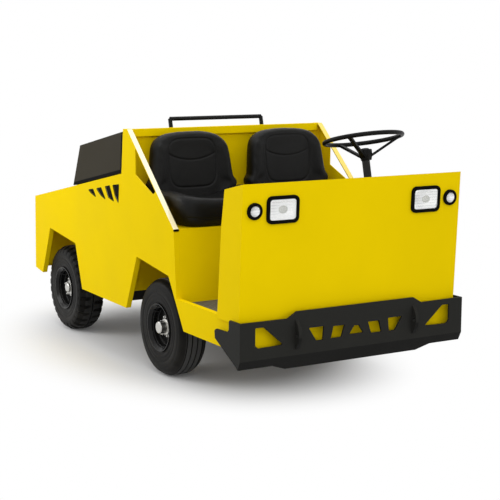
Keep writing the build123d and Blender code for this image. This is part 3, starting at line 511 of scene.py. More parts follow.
def make_floor_grip():
    material, tree, surface, base = hard_finish(
        "floor_grip", (0.085, 0.078, 0.058), 0.6, grain=400.0, rub=(0.30, 0.29, 0.27),
        dust=0.3, spec=0.25)
    place = where(tree)
    pattern = calc(tree, "MAXIMUM", *[pressed_bars(tree, place, turn) for turn in BAR_TURNS])
    grain = surface.inputs["Normal"].links[0].from_node.outputs[0]
    emboss(tree, surface, pattern, BAR_HEIGHT, grain)
    paler_tops = blend_color(tree, times(tree, pattern, 0.6), base, (0.22, 0.21, 0.18))
    feed(tree, paler_tops, surface.inputs["Base Color"])
    return material


finishes["floor_grip"] = make_floor_grip()

# %% [markdown]
# ## Rubber, vinyl, glass and lamp parts
# Tyre rubber is dull. Its tread is mixed towards grey, partly road wear and partly painted
# highlight, and the rear treads get less of it as painted shade. The seats are grained vinyl
# with a soft shine. Glass is a clear shell over a bright reflector, and the red lens is a tinted
# plastic with rings moulded in.

# %% Rubber and vinyl
TREAD_GREY_FROM, TREAD_GREY_TO = 0.2645, 0.2675
# Share of the grey tread on each axle; the smaller rear share is painted shade.
FRONT_TREAD_GREY, REAR_TREAD_GREY = 1.0, 0.3


def tread_wear_and_light_mask(tree):
    """Grey-tread mask: full on the front tread that rolls on the road, weaker on the rear as
    painted shade.
    """
    place = where(tree)
    reaches = []
    for axle_y in (FRONT_AXLE_Y, REAR_AXLE_Y):
        across = vector_step(tree, "SUBTRACT", place, (0, axle_y, AXLE_Z))["Vector"]
        in_plane = vector_step(tree, "MULTIPLY", across, (0, 1, 1))["Vector"]
        reaches.append(vector_step(tree, "LENGTH", in_plane)["Value"])
    front, rear = [mask(tree, reach, TREAD_GREY_FROM, TREAD_GREY_TO) for reach in reaches]
    near_front = calc(tree, "LESS_THAN", *reaches)
    return times(tree, blend_value(tree, near_front, rear, front),
                 blend_value(tree, near_front, REAR_TREAD_GREY, FRONT_TREAD_GREY))


def make_rubber():
    material, tree, surface, base = hard_finish(
        "tyre", (0.0055, 0.0052, 0.0046), 0.46, grain=330.0, depth=0.0006, patches=0.25,
        rub=(0.03, 0.028, 0.024), rub_share=0.6, dust=0.05, radius=0.0015, spec=0.08)
    # Grey tread: partly road wear, partly painted highlight.
    paler_tops = times(tree, tread_wear_and_light_mask(tree), 0.85)
    base = blend_color(tree, paler_tops, base, (0.085, 0.085, 0.083))
    feed(tree, base, surface.inputs["Base Color"])
    return material


def make_vinyl():
    material, tree, surface = principled("seat_vinyl", {SPECULAR: 0.15})
    patches = use(tree, "grain", Scale=60.0)["Patches"]
    dusty = use(tree, "settled_dust", Amount=0.04)["Mask"]
    base = blend_color(tree, patches, (0.0030, 0.0030, 0.0028), (0.0050, 0.0050, 0.0047))
    base = blend_color(tree, dusty, base, (0.05, 0.05, 0.05))
    feed(tree, base, surface.inputs["Base Color"])
    feed(tree, calc(tree, "MULTIPLY_ADD", patches, 0.06, 0.28), surface.inputs["Roughness"])
    height = use(tree, "leather_grain", Scale=520.0)["Height"]
    emboss(tree, surface, height, 0.0005)
    return material


finishes["tyre"] = make_rubber()
finishes["seat_vinyl"] = make_vinyl()


# %% Glass, reflector and red lens
FLUTE_LINES_A_METRE = 440.0


def grained(name, sockets, scale=700.0, depth=0.0001):
    material, tree, surface = principled(name, sockets)
    texture = use(tree, "grain", Scale=scale)
    emboss(tree, surface, texture["Height"], depth)
    return material, tree, surface, texture["Patches"]


def make_reflector():
    """Bright metal with fine level lines painted into its colour, as painted light standing in for
    the lines that the fluted pane shows.
    """
    material, tree, surface, patches = grained(
        "reflector", {"Metallic": 1.0, "Roughness": 0.5}, scale=90.0, depth=0.0004)
    height = split(tree, where(tree))["Z"]
    ripple = calc(tree, "SINE", times(tree, height, FLUTE_LINES_A_METRE))
    painted_flute_lines = times(tree, mask(tree, ripple, 0.2, 1.0), mask(tree, patches, 0.0, 0.6))
    base = blend_color(tree, painted_flute_lines, (0.98, 0.98, 0.97), (0.80, 0.80, 0.80))
    feed(tree, base, surface.inputs["Base Color"])
    return material


def make_tail_red():
    material, tree, surface, patches = grained(
        "tail_red", {"Roughness": 0.3, SPECULAR: 0.25, "Coat Weight": 0.12})
    base = blend_color(tree, patches, (0.36, 0.004, 0.003), (0.48, 0.008, 0.006))
    feed(tree, base, surface.inputs["Base Color"])
    return material


finishes["lamp_glass"] = grained("lamp_glass", {
    "Base Color": (0.97, 0.98, 0.98, 1), "Roughness": 0.05,
    "Transmission Weight": 1.0, "IOR": 1.45})[0]
mirror = make_reflector()
shield_grey = grained("lamp_shield", {
    "Base Color": (0.72, 0.72, 0.68, 1), "Metallic": 1.0, "Roughness": 0.55}, scale=400.0)[0]
finishes["tail_red"] = make_tail_red()
print("finishes", sorted(finishes))

# %% Give each CAD node its finish
slot_of = {entry["node"]: entry["material_slot"] for entry in frame["record"]["subparts"]}
for name, piece in nodes.items():
    piece.data.materials.clear()
    piece.data.materials.append(finishes[slot_of[name]])
print("nodes finished", len(nodes))

# %% [markdown]
# ## Making pieces
# Most added pieces are turned forms, extruded outlines or copies of one small form, so a
# few functions make lists of points and faces, and one joins them into a mesh that rides
# on the right body. Small repeats such as nuts are joined into one mesh per body.

# %% Mesh helpers
def around(steps, count, closed=False):
    """Faces that join equal sections all the way round."""
    faces = []
    for k in range(steps):
        a, b = k * count, (k + 1) % steps * count
        faces += [(a + i, a + i + 1, b + i + 1, b + i) for i in range(count - 1)]
        if closed:
            faces.append((a + count - 1, a, b, b + count - 1))
    return faces


def turned(profile, origin, axis, steps):
    """Revolve (along, radius) points about an axis."""
    axis = Vector(axis).normalized()
    side = axis.orthogonal().normalized()
    other = axis.cross(side)
    verts = []
    for k in range(steps):
        angle = 2 * pi * k / steps
        out = side * cos(angle) + other * sin(angle)
        verts += [Vector(origin) + axis * along + out * radius for along, radius in profile]
    return verts, around(steps, len(profile))


def joined(*forms):
    verts, faces = [], []
    for form_verts, form_faces in forms:
        shift = len(verts)
        verts += form_verts
        faces += [tuple(i + shift for i in face) for face in form_faces]
    return verts, faces


def prism(near, far, turn=1):
    """Close the space between two equal outlines; turn is which way the near end runs."""
    count = len(near)
    faces = [(i, (i + 1) % count, (i + 1) % count + count, i + count) for i in range(count)]
    return near + far, faces + [tuple(range(count))[::turn], tuple(range(count, 2 * count))]


def bar(low, high, chamfer=0.0015):
    """A block with chamfered edges along its longest faces."""
    (x0, y0, z0), (x1, y1, z1) = low, high
    c = min(chamfer, (x1 - x0) / 3, (z1 - z0) / 3)
    outline = [(x0 + c, z0), (x1 - c, z0), (x1, z0 + c), (x1, z1 - c),
               (x1 - c, z1), (x0 + c, z1), (x0, z1 - c), (x0, z0 + c)]
    near, far = [[Vector((x, y, z)) for x, z in outline] for y in (y0, y1)]
    return prism(near, far, turn=-1)


def new_mesh(name, form):
    mesh = bpy.data.meshes.new(name)
    mesh.from_pydata([tuple(v) for v in form[0]], [], form[1])
    return mesh


def smooth(mesh):
    mesh.polygons.foreach_set("use_smooth", [True] * len(mesh.polygons))


def make_piece(name, form, slot, body="chassis", finish=None, sharp=35, replaces=()):
    mesh = new_mesh(name, form)
    clean = bmesh.new()
    clean.from_mesh(mesh)
    bmesh.ops.remove_doubles(clean, verts=clean.verts, dist=0.00002)
    bmesh.ops.recalc_face_normals(clean, faces=clean.faces)
    clean.to_mesh(mesh)
    clean.free()
    smooth(mesh)
    mesh.set_sharp_from_angle(angle=radians(sharp))
    mesh.materials.append(finish or finishes[slot])
    piece = new_object(name, mesh)
    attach(piece, body)
    if replaces:
        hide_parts(*replaces)
    return piece


# %% [markdown]
# ## Tyres
# The front tyres have plain ribs that run round them, and the rear ones have chunky lugs
# for pull. Both are one section turned round the axle. A rib is a dip in the section. A lug
# needs more: at each step round the wheel the shoulder points either stay out or drop into
# the gap between two lugs, left and right shoulders half a pitch apart.

# %% Tyres
WHEELS = (("front_right", -1), ("front_left", 1), ("rear_right", -1), ("rear_left", 1))
# All in millimetres: distances from the middle of the tyre, and radii
TREAD_RADIUS, CROWN_DROP = 270, 1.0
SHOULDER_AT, SHOULDER_SLOPE = 46, 0.6
TREAD_AT = (-72, -66, -58, -50, -38, -28, 28, 38, 50, 58, 66, 72, 0)
FRONT_GROOVES = ((-46, -16, 16, 46), 7, 4.5)  # places, depth, half width
REAR_GROOVES = ((0,), 9, 4)
SIDEWALL = ((71.5, 118.3), (80, 128), (82.6, 137), (84.2, 141), (83.4, 143), (85, 148),
            (85.9, 160), (86, 166), (84.8, 169), (85.6, 175), (85.8, 188), (84.9, 190),
            (84.9, 192), (85.8, 194), (85.8, 210), (85.6, 220), (84, 224), (84.3, 230),
            (82.8, 237), (80.5, 244), (76, 250))
LUG_PITCH, LUG_GAP = 6, 2  # steps round the wheel
LUGS_FROM, LUG_DEPTH, LUG_RADIUS = 24, 11, 246
LUG_SIDE_RADIUS, LUG_SIDE_SHARE = 226, 0.955
FRONT_STEPS, REAR_STEPS = 120, 180


def crown(d):
    """Tread radius at a distance from the middle of the tyre."""
    d = abs(d)
    if d < SHOULDER_AT:
        return TREAD_RADIUS - CROWN_DROP * (d / SHOULDER_AT) ** 2
    return TREAD_RADIUS - CROWN_DROP - (d - SHOULDER_AT) * SHOULDER_SLOPE


def tyre_section(grooves, depth, width):
    edges = [g + o for g in grooves for o in (-width, -width * 0.6, width * 0.6, width)]
    tread = []
    for d in sorted(set(TREAD_AT).union(edges)):
        low = any(abs(d - g) < width * 0.8 for g in grooves)
        tread.append((d, crown(d) - (depth if low else 0)))
    return [(-d, r) for d, r in SIDEWALL] + tread + list(reversed(SIDEWALL))


def between_lugs(k, d, r):
    """Drop a point of the section into the gap between two lugs."""
    phase = (k + (LUG_PITCH // 2 if d > 0 else 0)) % LUG_PITCH
    if abs(d) > LUGS_FROM and phase < LUG_GAP:
        if r > LUG_RADIUS:
            r -= LUG_DEPTH
        elif r > LUG_SIDE_RADIUS:
            d *= LUG_SIDE_SHARE
    return d, r


def make_tyre(tag, side):
    x, y, z = middle_of("tyre_" + tag)
    front = "front" in tag
    section = tyre_section(*(FRONT_GROOVES if front else REAR_GROOVES))
    steps = FRONT_STEPS if front else REAR_STEPS
    verts = []
    for k in range(steps):
        angle = 2 * pi * k / steps
        for d, r in section:
            if not front:
                d, r = between_lugs(k, d, r)
            verts.append((x + side * d / 1000, y + r / 1000 * cos(angle),
                          z + r / 1000 * sin(angle)))
    form = verts, around(steps, len(section), closed=True)
    return make_piece("tread_" + tag, form, "tyre", "wheel_" + tag, sharp=40,
                      replaces=("tyre_" + tag,))


for tag, side in WHEELS:
    tyre = make_tyre(tag, side)
    print("tyre", tag, len(tyre.data.polygons), "faces")

# %% [markdown]
# ## Wheel nuts and valve
# Five small nuts hold each disc round the hub, and a rubber valve stands out of the barrel.
# A nut is a short turned form with six steps and a domed end, on a round washer. The nuts
# of one wheel are one mesh that turns with it.

# %% Wheel nuts and valves
NUTS, NUT_CIRCLE, DISC_FACE = 5, 0.056, 0.034
NUT_PARTS = (
    ([(0, 0.0), (0, 0.0125), (0.002, 0.0125), (0.002, 0.0105)], 20),
    ([(0.002, 0.0102), (0.013, 0.0102), (0.015, 0.0085), (0.015, 0.006)], 6),
    ([(0.015, 0.006), (0.020, 0.006), (0.022, 0.004), (0.022, 0.0)], 12),
)
LOCK_RING = [(0.0592, 0.1092), (0.0610, 0.1076), (0.0640, 0.1076), (0.0660, 0.1092)]
VALVE_STEM = [(0, 0.006), (0.012, 0.0055), (0.020, 0.004), (0.034, 0.004), (0.036, 0.003),
              (0.036, 0.0)]


def make_wheel_fasteners(tag, side):
    x, y, z = middle_of("rim_" + tag)
    out = (side, 0, 0)
    forms = []
    for k in range(NUTS):
        angle = radians(18 + 360 // NUTS * k)
        at = (x + side * DISC_FACE, y + NUT_CIRCLE * cos(angle), z + NUT_CIRCLE * sin(angle))
        forms += [turned(profile, at, out, steps) for profile, steps in NUT_PARTS]
    make_piece("nuts_" + tag, joined(*forms), "hub_steel", "wheel_" + tag)
    lock = turned(LOCK_RING, (x, y, z), out, 96)
    stem = turned(VALVE_STEM, (x + side * 0.045, y + 0.070, z + 0.072), (side, 0.25, 0.25), 16)
    make_piece("valve_" + tag, joined(lock, stem), "rim_black", "wheel_" + tag)


for tag, side in WHEELS:
    make_wheel_fasteners(tag, side)
print("wheel nuts", NUTS, "a wheel")

# %% [markdown]
# ## Lamps
# Each headlamp is a fluted glass pane over a bright dished reflector with a small shade in
# the middle, behind a black moulded frame. The lamps sit on the leaning front, so they are
# drawn flat, in metres across the face, and then placed on it.

# %% Headlamps and markers
LAMP_X, LAMP_Z, MARKER_X = 0.435, 1.024, 0.594
FACE_RUN, FACE_RISE = 33, 666  # millimetres back and up
FACE_TOP_Z, FACE_REACH = 1.156, 0.992
FACE_LEAN = Vector((0, -FACE_RISE, -FACE_RUN)).normalized()
FACE_UP = Vector((0, -FACE_RUN, FACE_RISE)).normalized()
FACE_BACK = FACE_RUN / 1000 * (FACE_TOP_Z - LAMP_Z) / (FACE_RISE / 1000)
LAMP_FACE = Vector((0, FRONT_AXLE_Y - FACE_REACH + FACE_BACK, LAMP_Z))
HALF_WIDE, HALF_HIGH, CORNER = 0.075, 0.051, 0.014
PANE_HALVES, BOWL_HALVES = (0.0748, 0.0508), (0.0746, 0.0506)
SHIELD = [(0.0, 0.0190), (0.0012, 0.0175), (0.0022, 0.010), (0.0026, 0.0)]
SHIELD_OUT, SHIELD_STRETCH = 0.0042, 0.35
MARKER_STEPS, MARKER_RADIUS = 14, 0.0259
MARKER_BOWL = [(0.0106, 0.0258), (0.007, 0.018), (0.005, 0.009), (0.0045, 0.0)]


def on_face(x, up, out):
    """A point of the front face: across, up the slope and out from it."""
    return LAMP_FACE + Vector((x, 0, 0)) + FACE_UP * up + FACE_LEAN * out


def half_width(up, half_w, half_h):
    """Half width of a rounded rectangle at a height."""
    over = max(0.0, abs(up) - (half_h - CORNER))
    return half_w - CORNER + sqrt(max(0.0, CORNER * CORNER - over * over))


def face_grid(x_mid, halves, depth_at, columns=40, rows=60):
    half_w, half_h = halves
    verts, faces = [], []
    for j in range(rows + 1):
        up = half_h * (2 * j / rows - 1)
        reach = half_width(up, half_w, half_h)
        for i in range(columns + 1):
            x = reach * (2 * i / columns - 1)
            verts.append(on_face(x_mid + x, up, depth_at(x, up)))
    for j in range(rows):
        for i in range(columns):
            a = j * (columns + 1) + i
            faces.append((a, a + 1, a + columns + 2, a + columns + 1))
    return verts, faces


def flutes(x, up):
    """Depth of the pane: a slight dome with level flutes above and below the middle."""
    dome = 0.0022 * (1 - (x / HALF_WIDE) ** 2) * (1 - (up / HALF_HIGH) ** 2)
    strength = 0.4 + 0.6 * min(1.0, abs(up) / 0.03)
    return 0.0088 + dome + 0.0007 * abs(sin(up * 420)) * strength


def dish(x, up):
    reach = min(1.0, hypot(x / HALF_WIDE, up / HALF_HIGH))
    return 0.0025 + 0.0045 * reach ** 2


def shade(x_mid):
    """The small oval shade in the middle of a headlamp: a round one drawn wider."""
    verts, faces = turned(SHIELD, on_face(x_mid, 0, SHIELD_OUT), FACE_LEAN, 32)
    middle = on_face(x_mid, 0, 0).x
    wide = [Vector((v.x + (v.x - middle) * SHIELD_STRETCH, v.y, v.z)) for v in verts]
    return wide, faces


def marker_pane(x_mid):
    """A round lens with moulded rings."""
    rings = []
    for k in range(MARKER_STEPS + 1):
        out = 0.0112 + 0.0022 * (k / MARKER_STEPS) ** 0.5 + 0.0005 * (k % 2)
        rings.append((out, MARKER_RADIUS - MARKER_RADIUS * k / MARKER_STEPS))
    return turned(rings, on_face(x_mid, 0, 0), FACE_LEAN, 40)


def make_lamps():
    lamps, markers = (-LAMP_X, LAMP_X), (-MARKER_X, MARKER_X)
    panes = [face_grid(x, PANE_HALVES, flutes) for x in lamps] + [marker_pane(x) for x in markers]
    bowls = [face_grid(x, BOWL_HALVES, dish, 24, 20) for x in lamps]
    bowls += [turned(MARKER_BOWL, on_face(x, 0, 0), FACE_LEAN, 40) for x in markers]
    lenses = make_piece("lamp_panes", joined(*panes), "lamp_glass", sharp=60,
                        replaces=("headlamp_lenses", "marker_lenses"))
    make_piece("lamp_reflectors", joined(*bowls), "lamp_glass", finish=mirror, sharp=50)
    make_piece("lamp_shields", joined(*[shade(x) for x in lamps]), "lamp_glass",
               finish=shield_grey)
    return lenses


lamp_panes = make_lamps()
print("lamp panes", len(lamp_panes.data.polygons), "faces")

# %% [markdown]
# ## Seats
# Each seat is one moulded shell: a thick cushion whose sides rise into the back, and a back
# that flares at the hips and is crowned at the top. The foam is drawn as rings, closed and
# evened out by a voxel remesh, then blown up a little as cloth so that it looks stuffed.
# Seams are pressed in afterwards, because a remesh would lose them.

# %% Seat forms
SEAT_MID = 0.315
BACK_LEAN = tan(radians(7.8))
BACK_FACE_Y = FRONT_AXLE_Y + 0.1006
BACK_MID_Z = 1.08
# Height and half width of the back, in metres
BACK_OUTLINE = (
    (0.850, 0.222), (0.920, 0.232), (0.965, 0.252), (1.000, 0.278), (1.026, 0.287),
    (1.044, 0.284), (1.058, 0.271), (1.078, 0.263), (1.110, 0.258), (1.160, 0.253),
    (1.210, 0.247), (1.245, 0.240), (1.272, 0.228), (1.292, 0.209), (1.306, 0.186),
    (1.317, 0.155), (1.325, 0.118), (1.331, 0.070), (1.333, 0.0))
# Scale of the outline, depth behind the front of the back, and how far the sides roll forward
BACK_RINGS = (
    (0.35, 0.024, 0), (0.62, 0.022, 0.012), (0.82, 0.016, 0.022), (0.93, 0.012, 0.018),
    (0.985, 0.026, 0.008), (1.0, 0.048, 0), (0.985, 0.070, 0), (0.94, 0.086, 0),
    (0.4, 0.092, 0))
CUSHION_FRONT, CUSHION_REAR = FRONT_AXLE_Y - 0.300, FRONT_AXLE_Y + 0.112
CUSHION_POINTS, CUSHION_POWER = 64, 2 / 4.5
# Scale, drop below the top, half width, how far front and rear come in, height if it is flat
CUSHION_RINGS = (
    (0.15, 0.012, 0.283, 0, 0, None), (0.5, 0.010, 0.283, 0, 0, None),
    (0.78, 0.003, 0.283, 0, 0, None), (0.90, 0.001, 0.283, 0, 0, None),
    (0.965, 0.008, 0.283, 0, 0, None), (0.995, 0.026, 0.283, 0, 0, None),
    (1.0, 0.048, 0.283, 0, 0, None), (0.99, 0.075, 0.280, 0.002, 0.004, None),
    (0.965, 0.105, 0.277, 0.006, 0.008, None), (0.91, 0, 0.275, 0.016, 0.012, 0.873),
    (0.86, 0, 0.274, 0.026, 0.012, 0.853), (0.55, 0, 0.274, 0.012, 0.012, 0.850))


def ring_form(rings):
    """Close a stack of equal rings of points with a fan at each end."""
    count = len(rings[0])
    verts = [v for ring in rings for v in ring]
    faces = []
    for k in range(len(rings) - 1):
        a, b = k * count, (k + 1) * count
        faces += [(a + i, a + (i + 1) % count, b + (i + 1) % count, b + i) for i in range(count)]
    faces.append(tuple(reversed(range(count))))
    faces.append(tuple(range((len(rings) - 1) * count, len(rings) * count)))
    return verts, faces


def squared_round(k, steps, power_u, power_v):
    """A point of a circle that is pulled towards the corners of its square."""
    angle = 2 * pi * k / steps
    c, s = cos(angle), sin(angle)
    return copysign(abs(c) ** power_u, c), copysign(abs(s) ** power_v, s)


def back_ring(x_mid, outline, scale, inset, bolster):
    points = []
    for w, z in outline:
        x, up = w * scale, BACK_MID_Z + (z - BACK_MID_Z) * scale
        share = max(0.0, min(1.0, (abs(x) - 0.13) / 0.09)) * (1.0 if up < 1.26 else 0.5)
        y = BACK_FACE_Y + (up - SEAT_BOX_TOP) * BACK_LEAN + inset - bolster * share
        points.append((x_mid + x, y, up))
    return points


def back_form(x_mid):
    right = [(w, z) for z, w in BACK_OUTLINE]
    outline = right + [(-w, z) for w, z in reversed(right[:-1])]
    return ring_form([back_ring(x_mid, outline, *row) for row in BACK_RINGS])


def cushion_top(x, y):
    """Height of the seat face: low at the rear, raised at the sides."""
    along = (y - CUSHION_FRONT) / (CUSHION_REAR - CUSHION_FRONT)
    side_lift = (0.018 + 0.045 * along) * min(1.2, abs(x) / 0.24) ** 2.4
    dip = 0.026 * along ** 0.8 - 0.004 * max(0.0, 0.14 - along) / 0.14
    return min(1.036, 1.001 - dip + side_lift)


def cushion_ring(x_mid, scale, drop, half_w, front_in, rear_in, flat):
    y0, y1 = CUSHION_FRONT + front_in, CUSHION_REAR - rear_in
    points = []
    for k in range(CUSHION_POINTS):
        u, v = squared_round(k, CUSHION_POINTS, CUSHION_POWER, CUSHION_POWER)
        x = half_w * scale * u
        y = (y0 + y1) / 2 + (y1 - y0) / 2 * scale * v
        points.append((x_mid + x, y, flat or cushion_top(x, y) - drop))
    return points


def cushion_form(x_mid):
    return ring_form([cushion_ring(x_mid, *row) for row in CUSHION_RINGS])


# %% [markdown]
# ### Stuffing
# The cloth run pushes every point outward. Where the skin draws in at a corner it is mostly
# put back, and how far any point may move is capped, so that the pad keeps the size of the
# real one and stays clear of the wall and the seat box.

# %% Stuff a pad
VOXEL = 0.0085
PRESSURE, CLOTH_FRAMES = 4.0, 20
PUT_BACK = 0.8


def vectors_of(mesh, what):
    """Every vertex's place ("co") or normal ("normal")."""
    flat = np.empty(len(mesh.vertices) * 3, dtype=np.float32)
    mesh.vertices.foreach_get(what, flat)
    return flat.reshape(-1, 3).astype(float)


def move_points(mesh, points):
    mesh.vertices.foreach_set("co", points.astype(np.float32).ravel())
    mesh.update()


def settle(pad):
    """Turn what the modifiers show into the mesh itself."""
    shown = pad.evaluated_get(bpy.context.evaluated_depsgraph_get())
    mesh = bpy.data.meshes.new_from_object(shown)
    pad.modifiers.clear()
    pad.data = mesh


def inflate(pad):
    cloth = pad.modifiers.new("stuffing", "CLOTH")
    cloth.settings.use_pressure = True
    cloth.settings.uniform_pressure_force = PRESSURE
    cloth.settings.effector_weights.gravity = 0.0
    cloth.point_cache.frame_start, cloth.point_cache.frame_end = 1, CLOTH_FRAMES
    for step in range(1, CLOTH_FRAMES + 1):
        bpy.context.scene.frame_set(step)
    settle(pad)
    bpy.context.scene.frame_set(1)


def stuff(name, form, cap):
    pad = new_object(name, new_mesh(name, form))
    even = pad.modifiers.new("even", "REMESH")
    even.mode, even.voxel_size = "VOXEL", VOXEL
    settle(pad)
    start, outward = vectors_of(pad.data, "co"), vectors_of(pad.data, "normal")
    inflate(pad)
    moved = vectors_of(pad.data, "co") - start
    inward = np.minimum(0.0, (moved * outward).sum(axis=1, keepdims=True))
    moved -= PUT_BACK * inward * outward
    length = np.maximum(np.linalg.norm(moved, axis=1, keepdims=True), 1e-9)
    move_points(pad.data, start + moved * np.minimum(1.0, cap / length))
    even_out = pad.modifiers.new("even_out", "SMOOTH")
    even_out.factor, even_out.iterations = 0.5, 6
    finer = pad.modifiers.new("finer", "SUBSURF")
    finer.levels = finer.render_levels = 1
    settle(pad)
    return pad


# %% [markdown]
# ### Seams
# The back has a stitched panel with a curved cross seam, and the cushion has a seam along
# its front roll. Each seam is a line of points; whatever lies near it is pressed in.

# %% Press seams and finish the seats
PANEL_MID_Z, PANEL_HALF_W, PANEL_HALF_H = 1.154, 0.149, 0.136
SMILE_Z, SMILE_RISE = 1.170, 0.038
WELT_Z, WELT_RISE, WELT_HALF = 0.892, 0.010, 0.25


def press(pad, lines, depth, width, facing_below):
    """Press the front of a pad in along lines drawn in the X-Z plane."""
    points, normals = vectors_of(pad.data, "co"), vectors_of(pad.data, "normal")
    flat = points[:, (0, 2)]
    near = np.full(len(points), 1.0)
    for line in lines:
        for a, b in zip(line, line[1:]):
            a, b = np.array(a), np.array(b)
            span = b - a
            share = np.clip((flat - a) @ span / (span @ span), 0, 1)
            near = np.minimum(near, np.linalg.norm(flat - a - share[:, None] * span, axis=1))
    amount = depth * np.exp(-(near / width) ** 2) * (normals[:, 1] < facing_below)
    move_points(pad.data, points - normals * amount[:, None])


def back_seams(x_mid):
    panel = []
    for k in range(41):
        u, v = squared_round(k, 40, 0.42, 0.5)
        panel.append((x_mid + u * (PANEL_HALF_W + 0.004 * v), PANEL_MID_Z + PANEL_HALF_H * v))
    smile = [(x_mid + x, SMILE_Z + SMILE_RISE * (abs(x) / PANEL_HALF_W) ** 2.2)
             for x in [i * 0.0149 for i in range(-10, 11)]]
    return [panel, smile]


def cushion_seam(x_mid):
    return [(x_mid + x, WELT_Z + WELT_RISE * (x / WELT_HALF) ** 2)
            for x in [i * 0.05 for i in range(-5, 6)]]


def finish_pad(pad, cad_node):
    pad.data.materials.append(finishes["seat_vinyl"])
    smooth(pad.data)
    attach(pad, "chassis")
    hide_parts(cad_node)
    print(pad.name, len(pad.data.polygons), "faces")


def make_seat(side_name, x_mid):
    back = stuff("back_pad_" + side_name, back_form(x_mid), cap=0.006)
    press(back, back_seams(x_mid), 0.0042, 0.0042, -0.3)
    finish_pad(back, "seat_back_" + side_name)
    cushion = stuff("cushion_pad_" + side_name, cushion_form(x_mid), cap=0.005)
    press(cushion, [cushion_seam(x_mid)], 0.003, 0.004, -0.5)
    finish_pad(cushion, "seat_cushion_" + side_name)


make_seat("right", -SEAT_MID)
make_seat("left", SEAT_MID)

# %% [markdown]
# ## Dash instruments
# Behind the cowl the driver has a round charge gauge, a key switch and three rockers. They
# face rearward on the dash and show from the back and from above.

# %% Dash instruments
DASH_FACE_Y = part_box("dash_panel")[1][1] - 0.0078
REARWARD = (0, 1, 0.085)
GAUGE_AT, KEY_AT = (0.165, DASH_FACE_Y, 0.985), (0.425, DASH_FACE_Y, 0.985)
GAUGE = [(0.0, 0.044), (0.012, 0.044), (0.014, 0.041), (0.014, 0.037), (0.009, 0.036),
         (0.009, 0.0)]
KEY_RING = [(0.0, 0.016), (0.008, 0.016), (0.010, 0.014), (0.010, 0.0)]
KEY_END = [(0.010, 0.006), (0.022, 0.005), (0.022, 0.0)]
ROCKERS, ROCKER_STEP = 3, 0.05


def on_gauge(across, up):
    return GAUGE_AT[0] + across, GAUGE_AT[1] + 0.0095, GAUGE_AT[2] + up


def make_instruments():
    forms = [turned(GAUGE, GAUGE_AT, REARWARD, 48), turned(KEY_RING, KEY_AT, REARWARD, 32)]
    for k in range(ROCKERS):
        x = -0.02 - ROCKER_STEP * k
        forms.append(bar((x - 0.016, DASH_FACE_Y - 0.002, 0.962),
                         (x + 0.016, DASH_FACE_Y + 0.006, 1.008)))
        forms.append(bar((x - 0.012, DASH_FACE_Y + 0.006, 0.985),
                         (x + 0.012, DASH_FACE_Y + 0.012, 1.003)))
    make_piece("instruments", joined(*forms), "dash_black")


def make_gauge_marks():
    """Nine marks round the dial, its needle and the end of the key."""
    marks = []
    for k in range(9):
        angle = radians(210 - 30 * k)
        for reach in (0.028, 0.031):
            at = on_gauge(reach * cos(angle), reach * sin(angle))
            marks.append(turned([(0, 0.0016), (0.0006, 0.0014), (0.0006, 0.0)], at, REARWARD, 8))
    for k in range(12):
        reach = 0.002 * k
        needle = [(0, 0.0016 - 0.00008 * k), (0.0008, 0.0)]
        marks.append(turned(needle, on_gauge(reach * 0.5, reach * 0.86), REARWARD, 8))
    marks.append(turned(KEY_END, KEY_AT, REARWARD, 16))
    make_piece("gauge_marks", joined(*marks), "hub_steel")


make_instruments()
make_gauge_marks()
print("dash instruments ready")

# %% [markdown]
# ## Bolts, screws and small fittings
# Hexagon bolts hold the hitch and the springs, and each set is one mesh of small turned
# forms. The steering wheel gets its horn button, the tail lamps get ringed lenses, and the
# pedals get ribs.

# %% Bolts
HITCH_BOLTS_X, HITCH_BOLTS_Z, HITCH_PLATE = (-0.072, 0.072), (0.345, 0.455), 0.014
SPRING_X, SPRING_BOLTS_X, SPRING_BOLTS_Y = (-0.215, 0.215), (-0.018, 0.018), (-0.026, 0.026)
SPRING_PAD = 0.035
AXLE_TOP = {"front_springs": 0.298 + SPRING_PAD, "rear_springs": 0.314 + SPRING_PAD}


def bolt(at, axis, size):
    washer = [(0, 0.0), (0, size * 1.5), (size * 0.25, size * 1.5), (size * 0.25, size)]
    head = [(size * 0.25, size), (size * 0.85, size), (size, size * 0.82), (size, 0.0)]
    return joined(turned(washer, at, axis, 20), turned(head, at, axis, 6))


def make_hitch_bolts():
    plate_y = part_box("rear_hitch")[0][1] + HITCH_PLATE
    bolts = [bolt((x, plate_y, z), (0, 1, 0), 0.009)
             for x in HITCH_BOLTS_X for z in HITCH_BOLTS_Z]
    make_piece("hitch_bolts", joined(*bolts), "hub_steel")


def make_spring_bolts():
    bolts = []
    for node, top in AXLE_TOP.items():
        mid_y = middle_of(node)[1]
        bolts += [bolt((x + dx, mid_y + dy, top), (0, 0, 1), 0.005)
                  for x in SPRING_X for dx in SPRING_BOLTS_X for dy in SPRING_BOLTS_Y]
    make_piece("spring_bolts", joined(*bolts), "frame_black")


make_hitch_bolts()
make_spring_bolts()

# %% Horn button, tail lenses, pedal ribs and edge feet
COLUMN_TILT = radians(13.2)
WHEEL_TOP = Vector((COLUMN_X, FRONT_AXLE_Y - 0.610, 1.315))
HORN_BUTTON = [(0.0, 0.024), (0.003, 0.0235), (0.0055, 0.020), (0.0068, 0.012), (0.0072, 0.0)]
TAIL_LAMP_X, TAIL_LAMP_Z, TAIL_LAMP_DEPTH = 0.540, 0.740, 0.0215
TAIL_LEAN = Vector((0, 475, 18)).normalized()
TAIL_TRIM = [(0.0, 0.058), (0.008, 0.058), (0.010, 0.056), (0.010, 0.0500), (0.0, 0.0500)]
PEDALS = ((COLUMN_X - 0.095, 0.070), (COLUMN_X + 0.085, 0.060))  # middle and width
PEDAL_DOWN = Vector((0, -0.54, -0.84)).normalized()
PEDAL_OUT = Vector((0, 0.84, -0.54)).normalized()
RIBS, RIB_STEP = 7, 0.0125
FOOT_X = (-0.6355, 0.6355)


